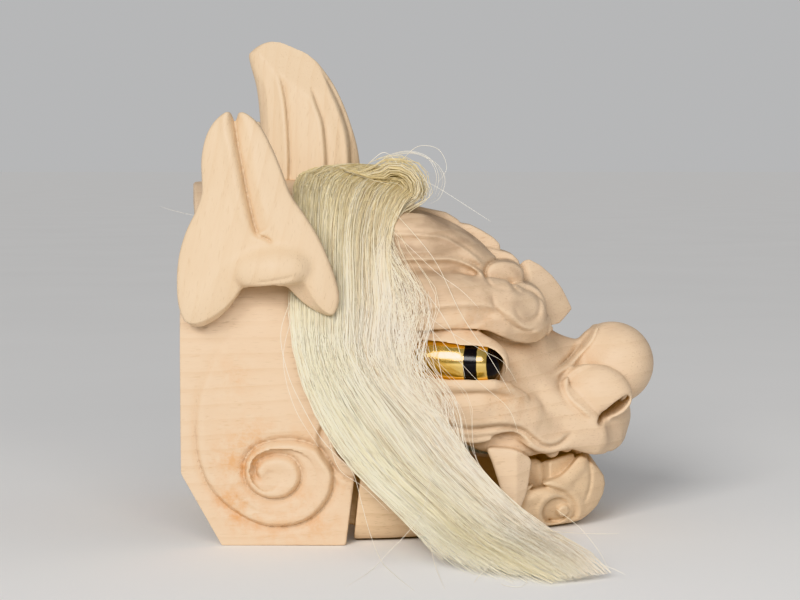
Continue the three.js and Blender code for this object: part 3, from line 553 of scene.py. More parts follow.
    # the underside of the lip is scooped out above the fang, in front of a ridge of gum
    scoop = ellipsoid((49.5, -74.5, 57.0), (19, 8.5, 7.6), (0, 17, -14))["d"](X, Y, Z)
    F.f = smax(lipped, -scoop.astype(np.float32), 1.2)
    profile = inside(sx, sz, np.array(FRONT, float)).astype(np.float32)
    rising = np.empty(F.f.shape, np.float32)
    for j, y in enumerate(F.axes[1]):
        up = 0.13 * min(abs(float(y)), 45.0) / F.h
        k, w = int(up), up - int(up)
        rising[:, j] = (1 - w) * np.roll(profile, k, 1) + w * np.roll(profile, k + 1, 1)
    F.f = smax(F.f, rising, 1.5)
    F.join(chain([(16, -66, 66, 8), (34, -62, 60, 9), (50, -59.5, 57, 8), (61, -54, 54, 7.5), (70, -47, 54, 6.5), (80, -41, 54.5, 6), (90, -33, 53.5, 5.5), (98, -22, 51, 5.5), (102, -8, 50, 5.5), (102, 0, 50, 5.5)]), 2.0)
    fang = block(F, FANG, 62, 76.5, 2.2)
    fang = smax(fang, ((X - 55.5) * 0.60 + (-Y - 75.0) * 0.80).astype(np.float32), 0.6)
    F.f = smin(F.f, fang, 1.0)
    for x0, y0, z0, w, low in ((76.5, -50.5, 50.5, 5.2, 5.2), (86.0, -43.5, 52.0, 4.9, 4.4)):
        F.join(ellipsoid((x0, y0, z0), (w, 4.2, low), (0, -10, 34)), 0.8)
    for x0, y0 in ((93.6, -33), (97.6, -24), (100.6, -13.5), (101.6, -4.5)):
        F.join(ellipsoid((x0, y0, 49.5), (4.2, 4.9, 5.0)), 0.8)

    # the hollow
    inner = skull_field(F, WALL, front=46.0)
    round_about = np.arctan2(Z - 60.0, np.abs(Y) + 8.0) * 9.5 + 0.35 * np.sin(X / 23.0) + 0 * X
    inner += (0.75 * np.abs(np.sin(round_about * 1.6)) - 0.4 + 0.35 * np.sin(X / 13.0 + 3.0 * np.floor(round_about * 1.6 / math.pi))).astype(np.float32)
    F.f = smax(F.f, -inner, 3.0)
    pocket = ellipsoid((9, -73.5, 107), (51, 26, 25), (0, 0, -17))["d"](X, Y, Z)
    limit = np.maximum(pocket, skull_field(F, 3.0))
    F.f = smin(F.f, limit.astype(np.float32), 2.0)
    F.carve(ball, 0.8)
    skin = ellipsoid((7, -72.2, 106.7), (43.2, 21.1, 21.1), (0, 0, -17))["d"](X, Y, Z)
    shell = np.maximum(np.maximum(skin, -ball["d"](X, Y, Z)), np.maximum(-inside(sx, sz, curve(EYE_OPENING, 4, True))[:, None, :], -30.0 - X))
    F.f = smin(F.f, np.maximum(shell, 96.0 - Z).astype(np.float32), 0.9)
    # flat back, flat foot and the slanted rear corner
    flat = np.maximum(np.maximum(REAR - X, 0.0 - Z), ((-120 - X) * 43 + (0 - Z) * 24) / math.hypot(43, 24))
    F.f = smax(F.f, flat + 0 * F.f, 0.8)
    eased = REAR + 0.125 * np.clip(np.abs(Y) - 12, 0, 90) * step(150, 188, Z) - X
    F.f = smax(F.f, eased + 0 * F.f, 1.2)
    rod = np.sqrt((X - PIVOT[0]) ** 2 + (Z - PIVOT[1]) ** 2) - 6.4
    F.f = smax(F.f, -np.maximum(rod + 0 * Y, np.abs(Y) - 89.4), 0.4)
    peg = np.sqrt((X + 92) ** 2 + (Z - 160) ** 2) - 6.35
    F.f = smax(F.f, -np.maximum(peg + 0 * Y, 86.0 - np.abs(Y)), 0.4)
    return mesh_from(F, "carved_head", True, 186000)


def jaw_field(F, inset, floor):
    x = F.axes[0]
    wide, keel, low, mid = [a[:, None, None] for a in rows(JAW, x, ["wide", "keel", "low", "mid"])]
    wide, keel, low = wide - inset, np.maximum(keel - inset, 2.0), low + floor
    y, z = np.abs(F.axes[1])[None, :, None], F.axes[2][None, None, :]
    round_ = np.sqrt(np.clip(1 - np.clip((mid - z) / (mid - low), 0, 1) ** 2, 0, 1))
    w = keel + (wide - keel) * round_
    f = true_distance((y - w).astype(np.float32), F.h)
    return smax(f, (low - z + 0 * f).astype(np.float32), 1.2)


def build_jaw():
    F = Field((-124, -98, -3), (117, 0, 54), VOXEL * 0.9)
    X, Y, Z = F.axes[0][:, None, None], F.axes[1][None, :, None], F.axes[2][None, None, :]
    sx, sz = F.side()
    F.f = jaw_field(F, 0.0, 0.0)
    profile = inside(sx, sz, np.array(JAW_SIDE, float))
    F.f = smax(F.f, profile[:, None, :].astype(np.float32) + 0 * F.f, 2.0)
    lip = np.interp(F.axes[0], *curve(LOWER_LIP, 6).T).astype(np.float32)
    wide = rows(JAW, F.axes[0], ["wide"])[0]
    cover = (Z - lip[:, None, None]) * 0.93
    F.f = smax(F.f, (cover + 0 * F.f).astype(np.float32), 1.5)
    # the rolled lip along the rim
    rim = [(x, -(w - 4.6), l - 4.6, 4.9) for x, w, l in zip((-36, -10, 14, 36, 56, 72, 84, 93), *[np.interp((-36, -10, 14, 36, 56, 72, 84, 93), F.axes[0], a) for a in (wide, lip)])]
    rim += [(95.5, -30.5, 38.6, 4.9), (98.6, -19, 37.4, 4.8), (99.8, -8, 36.9, 4.8), (100.0, 0, 36.9, 4.8)]
    F.join(chain(rim), 3.0)
    F.f = smax(F.f, (Z - (lip[:, None, None] + 0.25)) * 0.93 + 0 * F.f, 0.8)
    # relief on the outside: the arched line, the little scroll with its knob, the chin's fold
    flank = (step(12, 30, np.abs(Y)) * step(46, 40, Z) * step(2.0, 5.5, Z)).astype(np.float32)
    d, t, s = to_line(sx, sz, curve(JAW_LINE))
    ends = step(0, 0.06, t) * step(1.0, 0.9, t)
    line = 2.4 * np.exp(-((d / np.where(s > 0, 1.3, 2.2)) ** 1.6)) * ends
    line -= 1.1 * np.exp(-((s - 3.6) / 2.4) ** 2) * ends
    r = np.hypot(sx - JAW_SCROLL_AT[0], sz - JAW_SCROLL_AT[1])
    dish = 4.6 * step(JAW_SCROLL_R, JAW_SCROLL_R - 1.6, r) * (0.45 + 0.55 * step(8, -7, sx - JAW_SCROLL_AT[0]))
    knob = np.hypot(sx - 84.2, sz - 12.0)
    dish -= 3.4 * step(5.2, 2.8, knob) * step(JAW_SCROLL_R, JAW_SCROLL_R - 1.0, r)
    rim_line = -0.9 * np.exp(-((r - JAW_SCROLL_R - 2.0) / 1.6) ** 2)
    d, t, s = to_line(sx, sz, curve(CHIN_LINE))
    chin = 1.1 * np.exp(-((d / 1.2) ** 1.6)) * step(0, 0.1, t) * step(1.0, 0.7, t)
    F.f += (line + dish + rim_line + chin)[:, None, :] * flank
    # the trough, open at the back, with a low tongue and teeth
    trough = jaw_field(F, 16.0, 12.0)
    trough = smax(trough, X - 84.0 + 0 * trough, 9.0)
    F.f = smax(F.f, -trough, 2.0)
    F.join(ellipsoid((26, 0, 9.5), (44, 26, 6.5)), 3)
    F.f += (1.6 * np.exp(-((Y / 1.8) ** 2)) * step(-22, -8, X) * step(66, 40, X) * step(10.5, 12.5, Z)).astype(np.float32)
    back = ((SLIT_BOTTOM - X) * 49.5 + (Z + 5.0) * (SLIT_TOP - SLIT_BOTTOM)) / math.hypot(49.5, SLIT_TOP - SLIT_BOTTOM)
    F.f = smax(F.f, back + 0 * F.f, 0.8)
    tooth = ((X - 80.4) * math.cos(0.62) + (Y + 40.6) * math.sin(0.62)), (-(X - 80.4) * math.sin(0.62) + (Y + 40.6) * math.cos(0.62))
    lean = 0.22 * (Z - 36)
    top = 42.3 + 0.24 * (X - 72.5)
    f = np.maximum(np.abs(tooth[0] - lean * 0.4) - (10.4 - 0.12 * (46 - Z)), np.abs(tooth[1]) - 4.6)
    f = smax(np.maximum(f, 20.0 - Z) + 0 * F.f, Z - top + 0 * F.f, 3.0)
    F.f = smin(F.f, f.astype(np.float32), 0.8)
    F.join(ellipsoid((66, -40.5, 30), (10, 4.0, 13.5), (0, 0, 20)), 2.5)
    for x0, y0 in ((91.6, -22.5), (94.8, -12.8), (96.0, -4.3)):
        F.join(ellipsoid((x0, y0, 34), (4.0, 4.6, 7.6)), 0.7)
    # two arms that reach back inside the head to the dowel
    a = [(PIVOT[0] + 13 * math.cos(math.radians(g)), PIVOT[1] + 13 * math.sin(math.radians(g))) for g in range(90, 271, 12)]
    F.f = smin(F.f, block(F, a + [(-30, 9), (-14, 10), (-14, 34), (-32, 41)], 66.3, 77.7, 1.6, 1, False), 2.0)
    bore = np.sqrt((X - PIVOT[0]) ** 2 + (Z - PIVOT[1]) ** 2) - 6.4
    F.f = smax(F.f, -np.maximum(bore + 0 * Y, 50.0 - np.abs(Y)), 0.5)
    F.f = smax(F.f, 0.6 - Z + 0 * F.f, 0.6)
    return mesh_from(F, "carved_jaw", True, 88000)


SLIT_TOP, SLIT_BOTTOM = -38.3, -43.6


def build_horn():
    F = Field((-114, -25, 194), (-34, 0, 303), VOXEL * 0.8)
    X, Y, Z = F.axes[0][:, None, None], F.axes[1][None, :, None], F.axes[2][None, None, :]
    sx, sz = F.side()
    T = [{"x": r["z"], "back": r["back"], "front": r["front"], "thick": r["thick"]} for r in HORN]
    back, front, thick = [a[None, None, :] for a in rows(T, F.axes[2], ["back", "front", "thick"])]
    half, mid = (front - back) / 2, (front + back) / 2
    f = ((np.abs((X - mid) / half) ** 2.15 + np.abs(Y / thick) ** 1.9) ** 0.5 - 1.0) * np.minimum(half, thick)
    f = true_distance(f.astype(np.float32), F.h)
    F.f = smax(f, Z - 299.4 + 0 * f, 2.0)
    relief = np.zeros_like(sx)
    for i, line in enumerate(FLUTES):
        d, t, s = to_line(sx, sz, curve(line))
        fade = step(0.0, 0.22, t)
        relief -= (2.7, 2.6, 2.2)[i] * fade * np.where(s > 0, np.exp(-((d / 3.6) ** 1.0)), np.exp(-((d / 0.8) ** 1.4)))
        relief += 1.1 * fade * np.exp(-(((s + 2.6) / 2.0) ** 2))
    d, t, s = to_line(sx, sz, curve(FLUTE_0))
    relief += 0.9 * np.exp(-((d / 2.2) ** 1.3)) * step(0, 0.15, t)
    relief -= 1.0 * np.exp(-(((sx + 79.5) / 6.0) ** 2)) * step(290, 262, sz) * step(205, 225, sz)
    F.f -= relief[:, None, :] * step(1.0, 5.0, np.abs(Y))
    tip = (np.abs(Y) - 6.2) * 0.86 + (Z - 287.0 + 0.42 * (X + 86)) * 0.51
    F.f = smax(F.f, (tip + 0 * F.f).astype(np.float32), 1.0)
    S = Field((-114, -25, 194), (-34, 0, 303), VOXEL * 0.8)
    skull = skull_field(S, 0.1)
    F.f = smax(F.f, -skull, 0.2)
    return mesh_from(F, "carved_horn", True, 34000)


def build_ear():
    F = Field((-147, -136, 125), (-46, -84, 257), VOXEL * 0.9)
    X, Y, Z = F.axes[0][:, None, None], F.axes[1][None, :, None], F.axes[2][None, None, :]
    sx, sz = F.side()
    d = inside(sx, sz, curve(EAR, 4, True))
    # how far the carved face stands off the flat back, over the side view
    face = 7.0 + 6.0 * np.clip(-d / 16.0, 0, 1) ** 0.62
    g, t, s = to_line(sx, sz, curve(EAR_GROOVE))
    g = np.sqrt(g * g + 0.3)
    ends = step(1.0, 0.965, t)
    face -= 7.6 * ends * np.where(s > 0, np.exp(-((g / 1.9) ** 1.2)), np.exp(-((g / 1.35) ** 1.3)))
    face += 1.6 * ends * np.exp(-((s + 5.0) / 3.0) ** 2) * step(1.0, 0.8, t)
    face -= 2.4 * ends * np.exp(-((s - 3.6) / 3.4) ** 2)
    q, t, s = to_line(sx, sz, curve(EAR_SLIT))
    face -= 3.4 * np.exp(-((q / 1.0) ** 1.4)) * step(1.0, 0.7, t)
    # lower lobes: a full pad behind, a narrow one in front whose lower edge is cut back
    face += 1.8 * np.exp(-(((sx + 126) / 15) ** 2 + ((sz - 152) / 20) ** 2)) - 1.5 * np.exp(-(((sx + 127) / 8) ** 2 + ((sz - 157) / 12) ** 2))
    face += 1.6 * np.exp(-(((sx + 62) / 8) ** 2 + ((sz - 156) / 14) ** 2))
    # both lobes are cut back below a sharp line, down to a thin edge
    for line, thin, low in (([(-74.5, 162), (-69.8, 156.6), (-67.0, 151), (-63.5, 144.9), (-59.2, 139.7), (-55.0, 136.8)], 3.2, 1.0), ([(-101, 157), (-105.6, 152.2), (-110.2, 146.4), (-117.2, 139.8), (-124.8, 134.8), (-131.6, 132.3), (-137.2, 132.4)], 4.5, -1.0)):
        edge, t, s = to_line(sx, sz, curve(line))
        beyond = (s * low < 0) & (sz < 158) & ((sx > -87) if low > 0 else (sx < -100))
        share = edge / np.maximum(edge + np.maximum(-d, 0), 0.5)
        face = np.where(beyond, face - (face - thin) * share, face)
    back = -105.5 - EAR_LEAN * (Z - 160)
    y_out = back - face[:, None, :]
    F.f = smax(d[:, None, :] + 0 * Y, np.maximum((y_out - Y) * 0.82, Y - back), 1.8).astype(np.float32)
    # the boss over the peg, with a straight lower edge
    boss = smin(ellipsoid((-86, -116, 163.5), (19.5, 14.0, 12.5), (0, -4, 0))["d"](X, Y, Z), ellipsoid((-98, -114, 162), (13, 11.5, 10.5), (0, 14, 0))["d"](X, Y, Z), 5.0)
    under = (152.9 + 0.085 * (X + 100)) - Z
    boss = smax(boss, under + 0 * boss, 2.2)
    F.f = smin(F.f, boss.astype(np.float32), 4.5)
    fold, t, s = to_line(sx, sz, np.array([(-97, 156.2), (-90, 156.8), (-82, 158.2), (-74, 160.0)], float))
    F.f += (0.8 * np.exp(-((fold / 1.0) ** 1.6)) * step(0, 0.2, t) * step(1.0, 0.8, t))[:, None, :] * step(-116, -122, Y)
    F.f = smax(F.f, under + 0.3 - 24.0 * step(0, 1, np.maximum(np.abs(X + 94) - 8.5, 0) / 3.0) + 0 * F.f, 1.5)
    peg = np.sqrt((X + 92) ** 2 + (Z - 160) ** 2) - np.where(Y > -101, 6.0, 5.0)
    F.f = smin(F.f, np.maximum(peg + 0 * Y, np.maximum(Y + 86.4, -110 - Y)).astype(np.float32), 0.5)
    return mesh_from(F, "ear_right", False, 40000)


def build_eye():
    """A long ball turned on its axis, blunt at the front, in metres."""
    n, m, long, wide = 72, 64, 39.4, 17.9
    a = math.radians(-EYE_TURN)
    ax = np.array([math.cos(a), math.sin(a), 0.0])
    side, up = np.array([-math.sin(a), math.cos(a), 0.0]), np.array([0.0, 0.0, 1.0])
    t = -np.cos(np.linspace(0.0, math.pi, n + 1))
    r = np.clip(1 - np.abs(t) ** 2.25, 0, 1) ** (1 / 2.25)
    verts, faces = [], []
    for i in range(1, n):
        for j in range(m):
            g = 2 * math.pi * j / m
            p = np.array(EYE_AT) + ax * t[i] * long + (side * math.cos(g) + up * math.sin(g)) * r[i] * wide
            verts.append(p * MM)
    for i in range(n - 2):
        for j in range(m):
            k = (j + 1) % m
            faces.append((i * m + j, i * m + k, (i + 1) * m + k, (i + 1) * m + j))
    verts += [(np.array(EYE_AT) - ax * long) * MM, (np.array(EYE_AT) + ax * long) * MM]
    for j in range(m):
        k = (j + 1) % m
        faces.append((len(verts) - 2, k, j))
        faces.append((len(verts) - 1, (n - 2) * m + j, (n - 2) * m + k))
    me = bpy.data.meshes.new("eye_right")
    me.from_pydata([tuple(v) for v in verts], [], faces)
    me.polygons.foreach_set("use_smooth", np.ones(len(me.polygons), bool))
    me.update()
    # how far along its axis a point of the eye lies, for the black ring and the pupil
    along = me.attributes.new("along", "FLOAT", "POINT")
    co = np.array([tuple(v) for v in verts])
    along.data.foreach_set("value", ((co / MM - np.array(EYE_AT)) @ ax).astype(np.float32))
    ob = bpy.data.objects.new("eye_right", me)
    bpy.context.scene.collection.objects.link(ob)
    return ob


def build_rod():
    """The dowel: a turned stick with eased ends."""
    m, profile = 40, [(-89, 0), (-89, 5.0), (-88.6, 5.6), (-88, 5.95), (-60, 6.0), (-30, 5.95), (0, 6.0), (30, 5.95), (60, 6.0), (88, 5.95), (88.6, 5.6), (89, 5.0), (89, 0)]
    verts, faces = [], []
    for y, r in profile[1:-1]:
        for j in range(m):
            g = 2 * math.pi * j / m
            verts.append(((PIVOT[0] + r * math.cos(g)) * MM, y * MM, (PIVOT[1] + r * math.sin(g)) * MM))
    n = len(profile) - 2
    for i in range(n - 1):
        for j in range(m):
            k = (j + 1) % m
            faces.append((i * m + j, (i + 1) * m + j, (i + 1) * m + k, i * m + k))
    faces.append(tuple(range(m)))
    faces.append(tuple((n - 1) * m + j for j in reversed(range(m))))
    me = bpy.data.meshes.new("dowel")
    me.from_pydata(verts, [], faces)
    me.polygons.foreach_set("use_smooth", np.array([len(p.vertices) == 4 for p in me.polygons]))
    me.update()
    ob = bpy.data.objects.new("dowel", me)
    bpy.context.scene.collection.objects.link(ob)
    return ob


def place(ob, body, node):
    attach(ob, body)
    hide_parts(node)
    return ob


head = place(build_head(), "head", "upper_head")
jaw = place(build_jaw(), "jaw", "lower_jaw")
horn = place(build_horn(), "head", "horn")
ear_right = place(build_ear(), "head", "right_ear")
ear_left = place(mirrored_copy(ear_right, "ear_left"), "head", "left_ear")
eye_right = place(build_eye(), "head", "right_eye")
eye_left = place(mirrored_copy(eye_right, "eye_left"), "head", "left_eye")
dowel = place(build_rod(), "head", "jaw_rod")

# ---------------------------------------------------------------- the mane
# The hank on the side where y is negative, from the crown to the tips: its rear and lower edge (l),
# its front and upper edge (r), how deep it is and how much it is domed.
HANK = [
    {"lx": -37, "ly": 9, "lz": 219, "rx": -3, "ry": 9, "rz": 213, "deep": 7, "dome": 1.0},
    {"lx": -38, "ly": -7, "lz": 220, "rx": -3, "ry": -8, "rz": 213, "deep": 8, "dome": 2.0},
    {"lx": -45, "ly": -18, "lz": 221.5, "rx": -4, "ry": -20, "rz": 213, "deep": 8, "dome": 2.5},
    {"lx": -60, "ly": -28, "lz": 221.5, "rx": -5, "ry": -32, "rz": 211, "deep": 9, "dome": 2.5},
    {"lx": -72, "ly": -41, "lz": 218.5, "rx": -8, "ry": -44, "rz": 206, "deep": 9, "dome": 2.5},
    {"lx": -77, "ly": -57, "lz": 212, "rx": -14, "ry": -57, "rz": 201, "deep": 8, "dome": 2.0},
    {"lx": -77, "ly": -72, "lz": 202, "rx": -20, "ry": -69, "rz": 190, "deep": 8, "dome": 2.0},
    {"lx": -77, "ly": -85, "lz": 187, "rx": -23, "ry": -81, "rz": 175, "deep": 8, "dome": 2.0},
    {"lx": -77, "ly": -95, "lz": 168, "rx": -22, "ry": -90, "rz": 161, "deep": 7, "dome": 1.5},
    {"lx": -78, "ly": -100, "lz": 150, "rx": -20, "ry": -96, "rz": 148, "deep": 7, "dome": 1.5},
    {"lx": -78, "ly": -103.5, "lz": 134, "rx": -20, "ry": -100, "rz": 134, "deep": 8, "dome": 2.0},
    {"lx": -76.5, "ly": -107, "lz": 122, "rx": -24, "ry": -103, "rz": 122, "deep": 9, "dome": 3.0},
    {"lx": -74, "ly": -109, "lz": 110, "rx": -22.5, "ry": -106, "rz": 110, "deep": 10, "dome": 4.0},
    {"lx": -70.5, "ly": -111, "lz": 98, "rx": -14, "ry": -108, "rz": 99, "deep": 12, "dome": 4.5},
    {"lx": -63, "ly": -113.5, "lz": 81, "rx": -2, "ry": -110, "rz": 88, "deep": 13, "dome": 5.0},
    {"lx": -54, "ly": -116, "lz": 66, "rx": 8, "ry": -112, "rz": 78, "deep": 13, "dome": 5.0},
    {"lx": -44.5, "ly": -118.5, "lz": 53, "rx": 15, "ry": -113.5, "rz": 67, "deep": 13, "dome": 5.0},
    {"lx": -33, "ly": -121.5, "lz": 41, "rx": 22, "ry": -116, "rz": 56, "deep": 13, "dome": 5.0},
    {"lx": -20.6, "ly": -126, "lz": 30, "rx": 33, "ry": -119.5, "rz": 45, "deep": 13, "dome": 5.0},
    {"lx": -9, "ly": -134, "lz": 20.5, "rx": 44.5, "ry": -126, "rz": 33.5, "deep": 12, "dome": 4.5},
    {"lx": 2, "ly": -144, "lz": 12, "rx": 55, "ry": -135, "rz": 24.0, "deep": 11, "dome": 4.0},
    {"lx": 13, "ly": -156, "lz": 6.2, "rx": 67, "ry": -146, "rz": 17, "deep": 10, "dome": 3.0},
    {"lx": 26, "ly": -172, "lz": 2.8, "rx": 77, "ry": -159, "rz": 12.5, "deep": 9, "dome": 2.0},
    {"lx": 41, "ly": -191, "lz": 1.4, "rx": 86, "ry": -175, "rz": 8, "deep": 7, "dome": 1.0},
    {"lx": 54, "ly": -207, "lz": 1.2, "rx": 92, "ry": -190, "rz": 3.5, "deep": 4, "dome": 0.5},
]
ROLL_AT, ROLL_R = (-19.5, 207.0), (17.8, 16.8, 10.6)  # centre in x and z; reach to the front, up and down
LOWEST = 0.45


def unit(v):
    return v / np.maximum(np.linalg.norm(v, axis=-1, keepdims=True), 1e-9)


class Hank:
    """A flat hank of hair as a surface: s runs along it, u across it, and d down into it, each from 0 to 1."""

    def __init__(self, table):
        T = curve([[r[k] for k in r] for r in table], 10)
        mid = (T[:, :3] + T[:, 3:6]) / 2
        run = np.concatenate([[0], np.cumsum(np.linalg.norm(mid[1:] - mid[:-1], axis=1))])
        self.T, self.s, self.length = T, run / run[-1], run[-1]
        self.way = unit(np.gradient(mid, axis=0))

    def look(self, s, column):
        return np.interp(s, self.s, column)

    def point(self, s, u, d):
        s = s + 0 * u
        L = np.stack([self.look(s, self.T[:, k]) for k in (0, 1, 2)], -1)
        R = np.stack([self.look(s, self.T[:, k]) for k in (3, 4, 5)], -1)
        way = np.stack([self.look(s, self.way[:, k]) for k in range(3)], -1)
        out = unit(np.cross(way, R - L))
        deep, dome = self.look(s, self.T[:, 6]), self.look(s, self.T[:, 7])
        edge = np.sqrt(np.clip(1 - np.clip(2 * u - 1, -1, 1) ** 2, 0, 1))
        p = L + (R - L) * u[..., None] + out * (dome * edge - d * deep * (0.25 + 0.75 * edge))[..., None]
        p[..., 2] = np.maximum(p[..., 2], LOWEST)
        return p


def waver(rng, n, size, slow=0.6, fast=1.4):
    """n smooth random wanderings, as a function of an array whose rows are places from 0 to 1."""
    f = rng.uniform(slow, fast, (n, 3)) * np.array([1.0, 2.3, 4.7])
    p = rng.uniform(0, 2 * math.pi, (n, 3))
    a = size * np.array([1.0, 0.45, 0.16])
    return lambda s: sum(a[k] * np.sin(2 * math.pi * f[:, k : k + 1] * s + p[:, k : k + 1]) for k in range(3))


def smooth_paths(C, m):
    """Smooth lines of m points through rows of control points."""
    k = C.shape[1]
    t = np.linspace(0, k - 1, m)
    i = np.minimum(t.astype(int), k - 2)
    t = (t - i)[None, :, None]
    p0, p1, p2, p3 = [C[:, np.clip(i + o, 0, k - 1)] for o in (-1, 0, 1, 2)]
    return 0.5 * (2 * p1 + (p2 - p0) * t + (2 * p0 - 5 * p1 + 4 * p2 - p3) * t**2 + (3 * p1 - p0 - 3 * p2 + p3) * t**3)


def strands(P, half, tone, along, across, rng, thin=0.6):
    """Closed three-sided strands. P is strand, point, xyz; the rest is given for each point of each strand."""
    n, m = P.shape[:2]
    T = unit(np.gradient(P, axis=1))
    A = np.empty_like(P)
    a = unit(np.cross(T[:, 0], unit(rng.normal(size=(n, 3)))))
    for j in range(m):
        a = unit(a - (a * T[:, j]).sum(-1, keepdims=True) * T[:, j])
        A[:, j] = a
    B = np.cross(T, A)
    corners = []
    for k in range(3):
        g = 2 * math.pi * k / 3
        corners.append(P + half[..., None] * (math.cos(g) * A + thin * math.sin(g) * B))
    V = np.stack(corners, 2)  # strand, point, corner, xyz
    V[..., 2] = np.maximum(V[..., 2], 0.15)
    j, k = np.meshgrid(np.arange(m - 1), np.arange(3), indexing="ij")
    k1 = (k + 1) % 3
    one = np.stack([j * 3 + k, j * 3 + k1, (j + 1) * 3 + k1, (j + 1) * 3 + k], -1).reshape(-1, 4)
    quads = (one[None] + (np.arange(n) * m * 3)[:, None, None]).reshape(-1, 4)
    caps = np.array([[0, 2, 1], [(m - 1) * 3, (m - 1) * 3 + 1, (m - 1) * 3 + 2]])
    tris = (caps[None] + (np.arange(n) * m * 3)[:, None, None]).reshape(-1, 3)
    spread = lambda v: np.repeat((v + np.zeros((n, m))).ravel(), 3)
    return V.reshape(-1, 3), quads, tris, {"tone": spread(tone), "along": spread(along), "across": spread(across)}


def sheet(hank, s_end, u_low, u_high, top, bottom, rng, ns=76, nu=64):
    """The closed core of the hank under its outer strands."""
    s = np.linspace(0, s_end, ns)[:, None]
    u = (u_low + (u_high - u_low) * (0.5 - 0.5 * np.cos(np.linspace(0, math.pi, nu))))[None, :]
    s, u = s + 0 * u, u + 0 * s
    ridges = np.zeros_like(s)
    for f, a in ((11, 0.03), (23, 0.03), (41, 0.03)):
        drift = waver(rng, 1, 0.5)(s[:, :1].T).T
        ridges += a * np.sin(2 * math.pi * (f * u + drift) + rng.uniform(0, 6.28))
    edge = np.clip(np.minimum((u - u_low), (u_high - u)) / 0.08, 0, 1) ** 0.5 * np.clip((s_end - s) / 0.10, 0, 1) ** 0.5
    half = (bottom - top) / 2 * step(1.04 * s_end, 0.55 * s_end, s)
    outer = hank.point(s, u, (top + bottom) / 2 - half * edge - ridges * edge)
    inner = hank.point(s, u, (top + bottom) / 2 + half * edge + 0.03 + 0 * edge)
    V = np.concatenate([outer.reshape(-1, 3), inner.reshape(-1, 3)])
    V[ns * nu :, 2] = np.maximum(V[ns * nu :, 2] - 0.25, 0.2)
    i, j = np.meshgrid(np.arange(ns - 1), np.arange(nu - 1), indexing="ij")
    a = i * nu + j
    face = np.stack([a, a + nu, a + nu + 1, a + 1], -1).reshape(-1, 4)
    under = face[:, ::-1] + ns * nu
    ring = np.concatenate([np.arange(nu), np.arange(1, ns) * nu + nu - 1, (ns - 1) * nu + np.arange(nu - 2, -1, -1), np.arange(ns - 2, 0, -1) * nu])
    nxt = np.roll(ring, -1)
    rim = np.stack([ring, nxt, nxt + ns * nu, ring + ns * nu], -1)
    # the ridges' height is kept as tone, so the material paints the troughs darker and the crests paler: painted shade
    # and highlight on the relief
    at = {"tone": np.concatenate([(ridges * 6).ravel()] * 2), "along": np.concatenate([s.ravel()] * 2), "across": np.concatenate([u.ravel()] * 2)}
    return V, np.concatenate([face, under, rim]), np.zeros((0, 3), int), at


def hair_piece(name, parts, flips):
    """One mesh from several sets of strands; a set whose flip is -1 is mirrored in the plane y = 0."""
    V, Q, R, at, n = [], [], [], {"tone": [], "along": [], "across": []}, 0
    for (v, q, t, a), flip in zip(parts, flips):
        v = v * np.array([1, flip, 1])
        if flip < 0:
            q, t = q[:, ::-1], t[:, ::-1]
        V.append(v), Q.append(q + n), R.append(t + n)
        for k in at:
            at[k].append(a[k])
        n += len(v)
    V, Q, R = np.concatenate(V), np.concatenate(Q).astype(np.int32), np.concatenate(R).astype(np.int32)
    me = bpy.data.meshes.new(name)
    me.vertices.add(len(V))
    me.vertices.foreach_set("co", (V * MM).astype(np.float32).ravel())
    me.loops.add(Q.size + R.size)
    me.loops.foreach_set("vertex_index", np.concatenate([Q.ravel(), R.ravel()]))
    me.polygons.add(len(Q) + len(R))
    me.polygons.foreach_set("loop_start", np.concatenate([np.arange(len(Q)) * 4, Q.size + np.arange(len(R)) * 3]).astype(np.int32))
    me.polygons.foreach_set("use_smooth", np.ones(len(Q) + len(R), bool))
    me.update(calc_edges=True)
    for k in at:
        layer = me.attributes.new(k, "FLOAT", "POINT")
        layer.data.foreach_set("value", np.concatenate(at[k]).astype(np.float32))
    ob = bpy.data.objects.new(name, me)
    bpy.context.scene.collection.objects.link(ob)
    return ob


def taper(m, n, rng, wide, tip=0.3):
    t = np.linspace(0, 1, m)[None, :]
    return wide * rng.uniform(0.75, 1.25, (n, 1)) * (tip + (1 - tip) * step(1.0, 0.78, t))


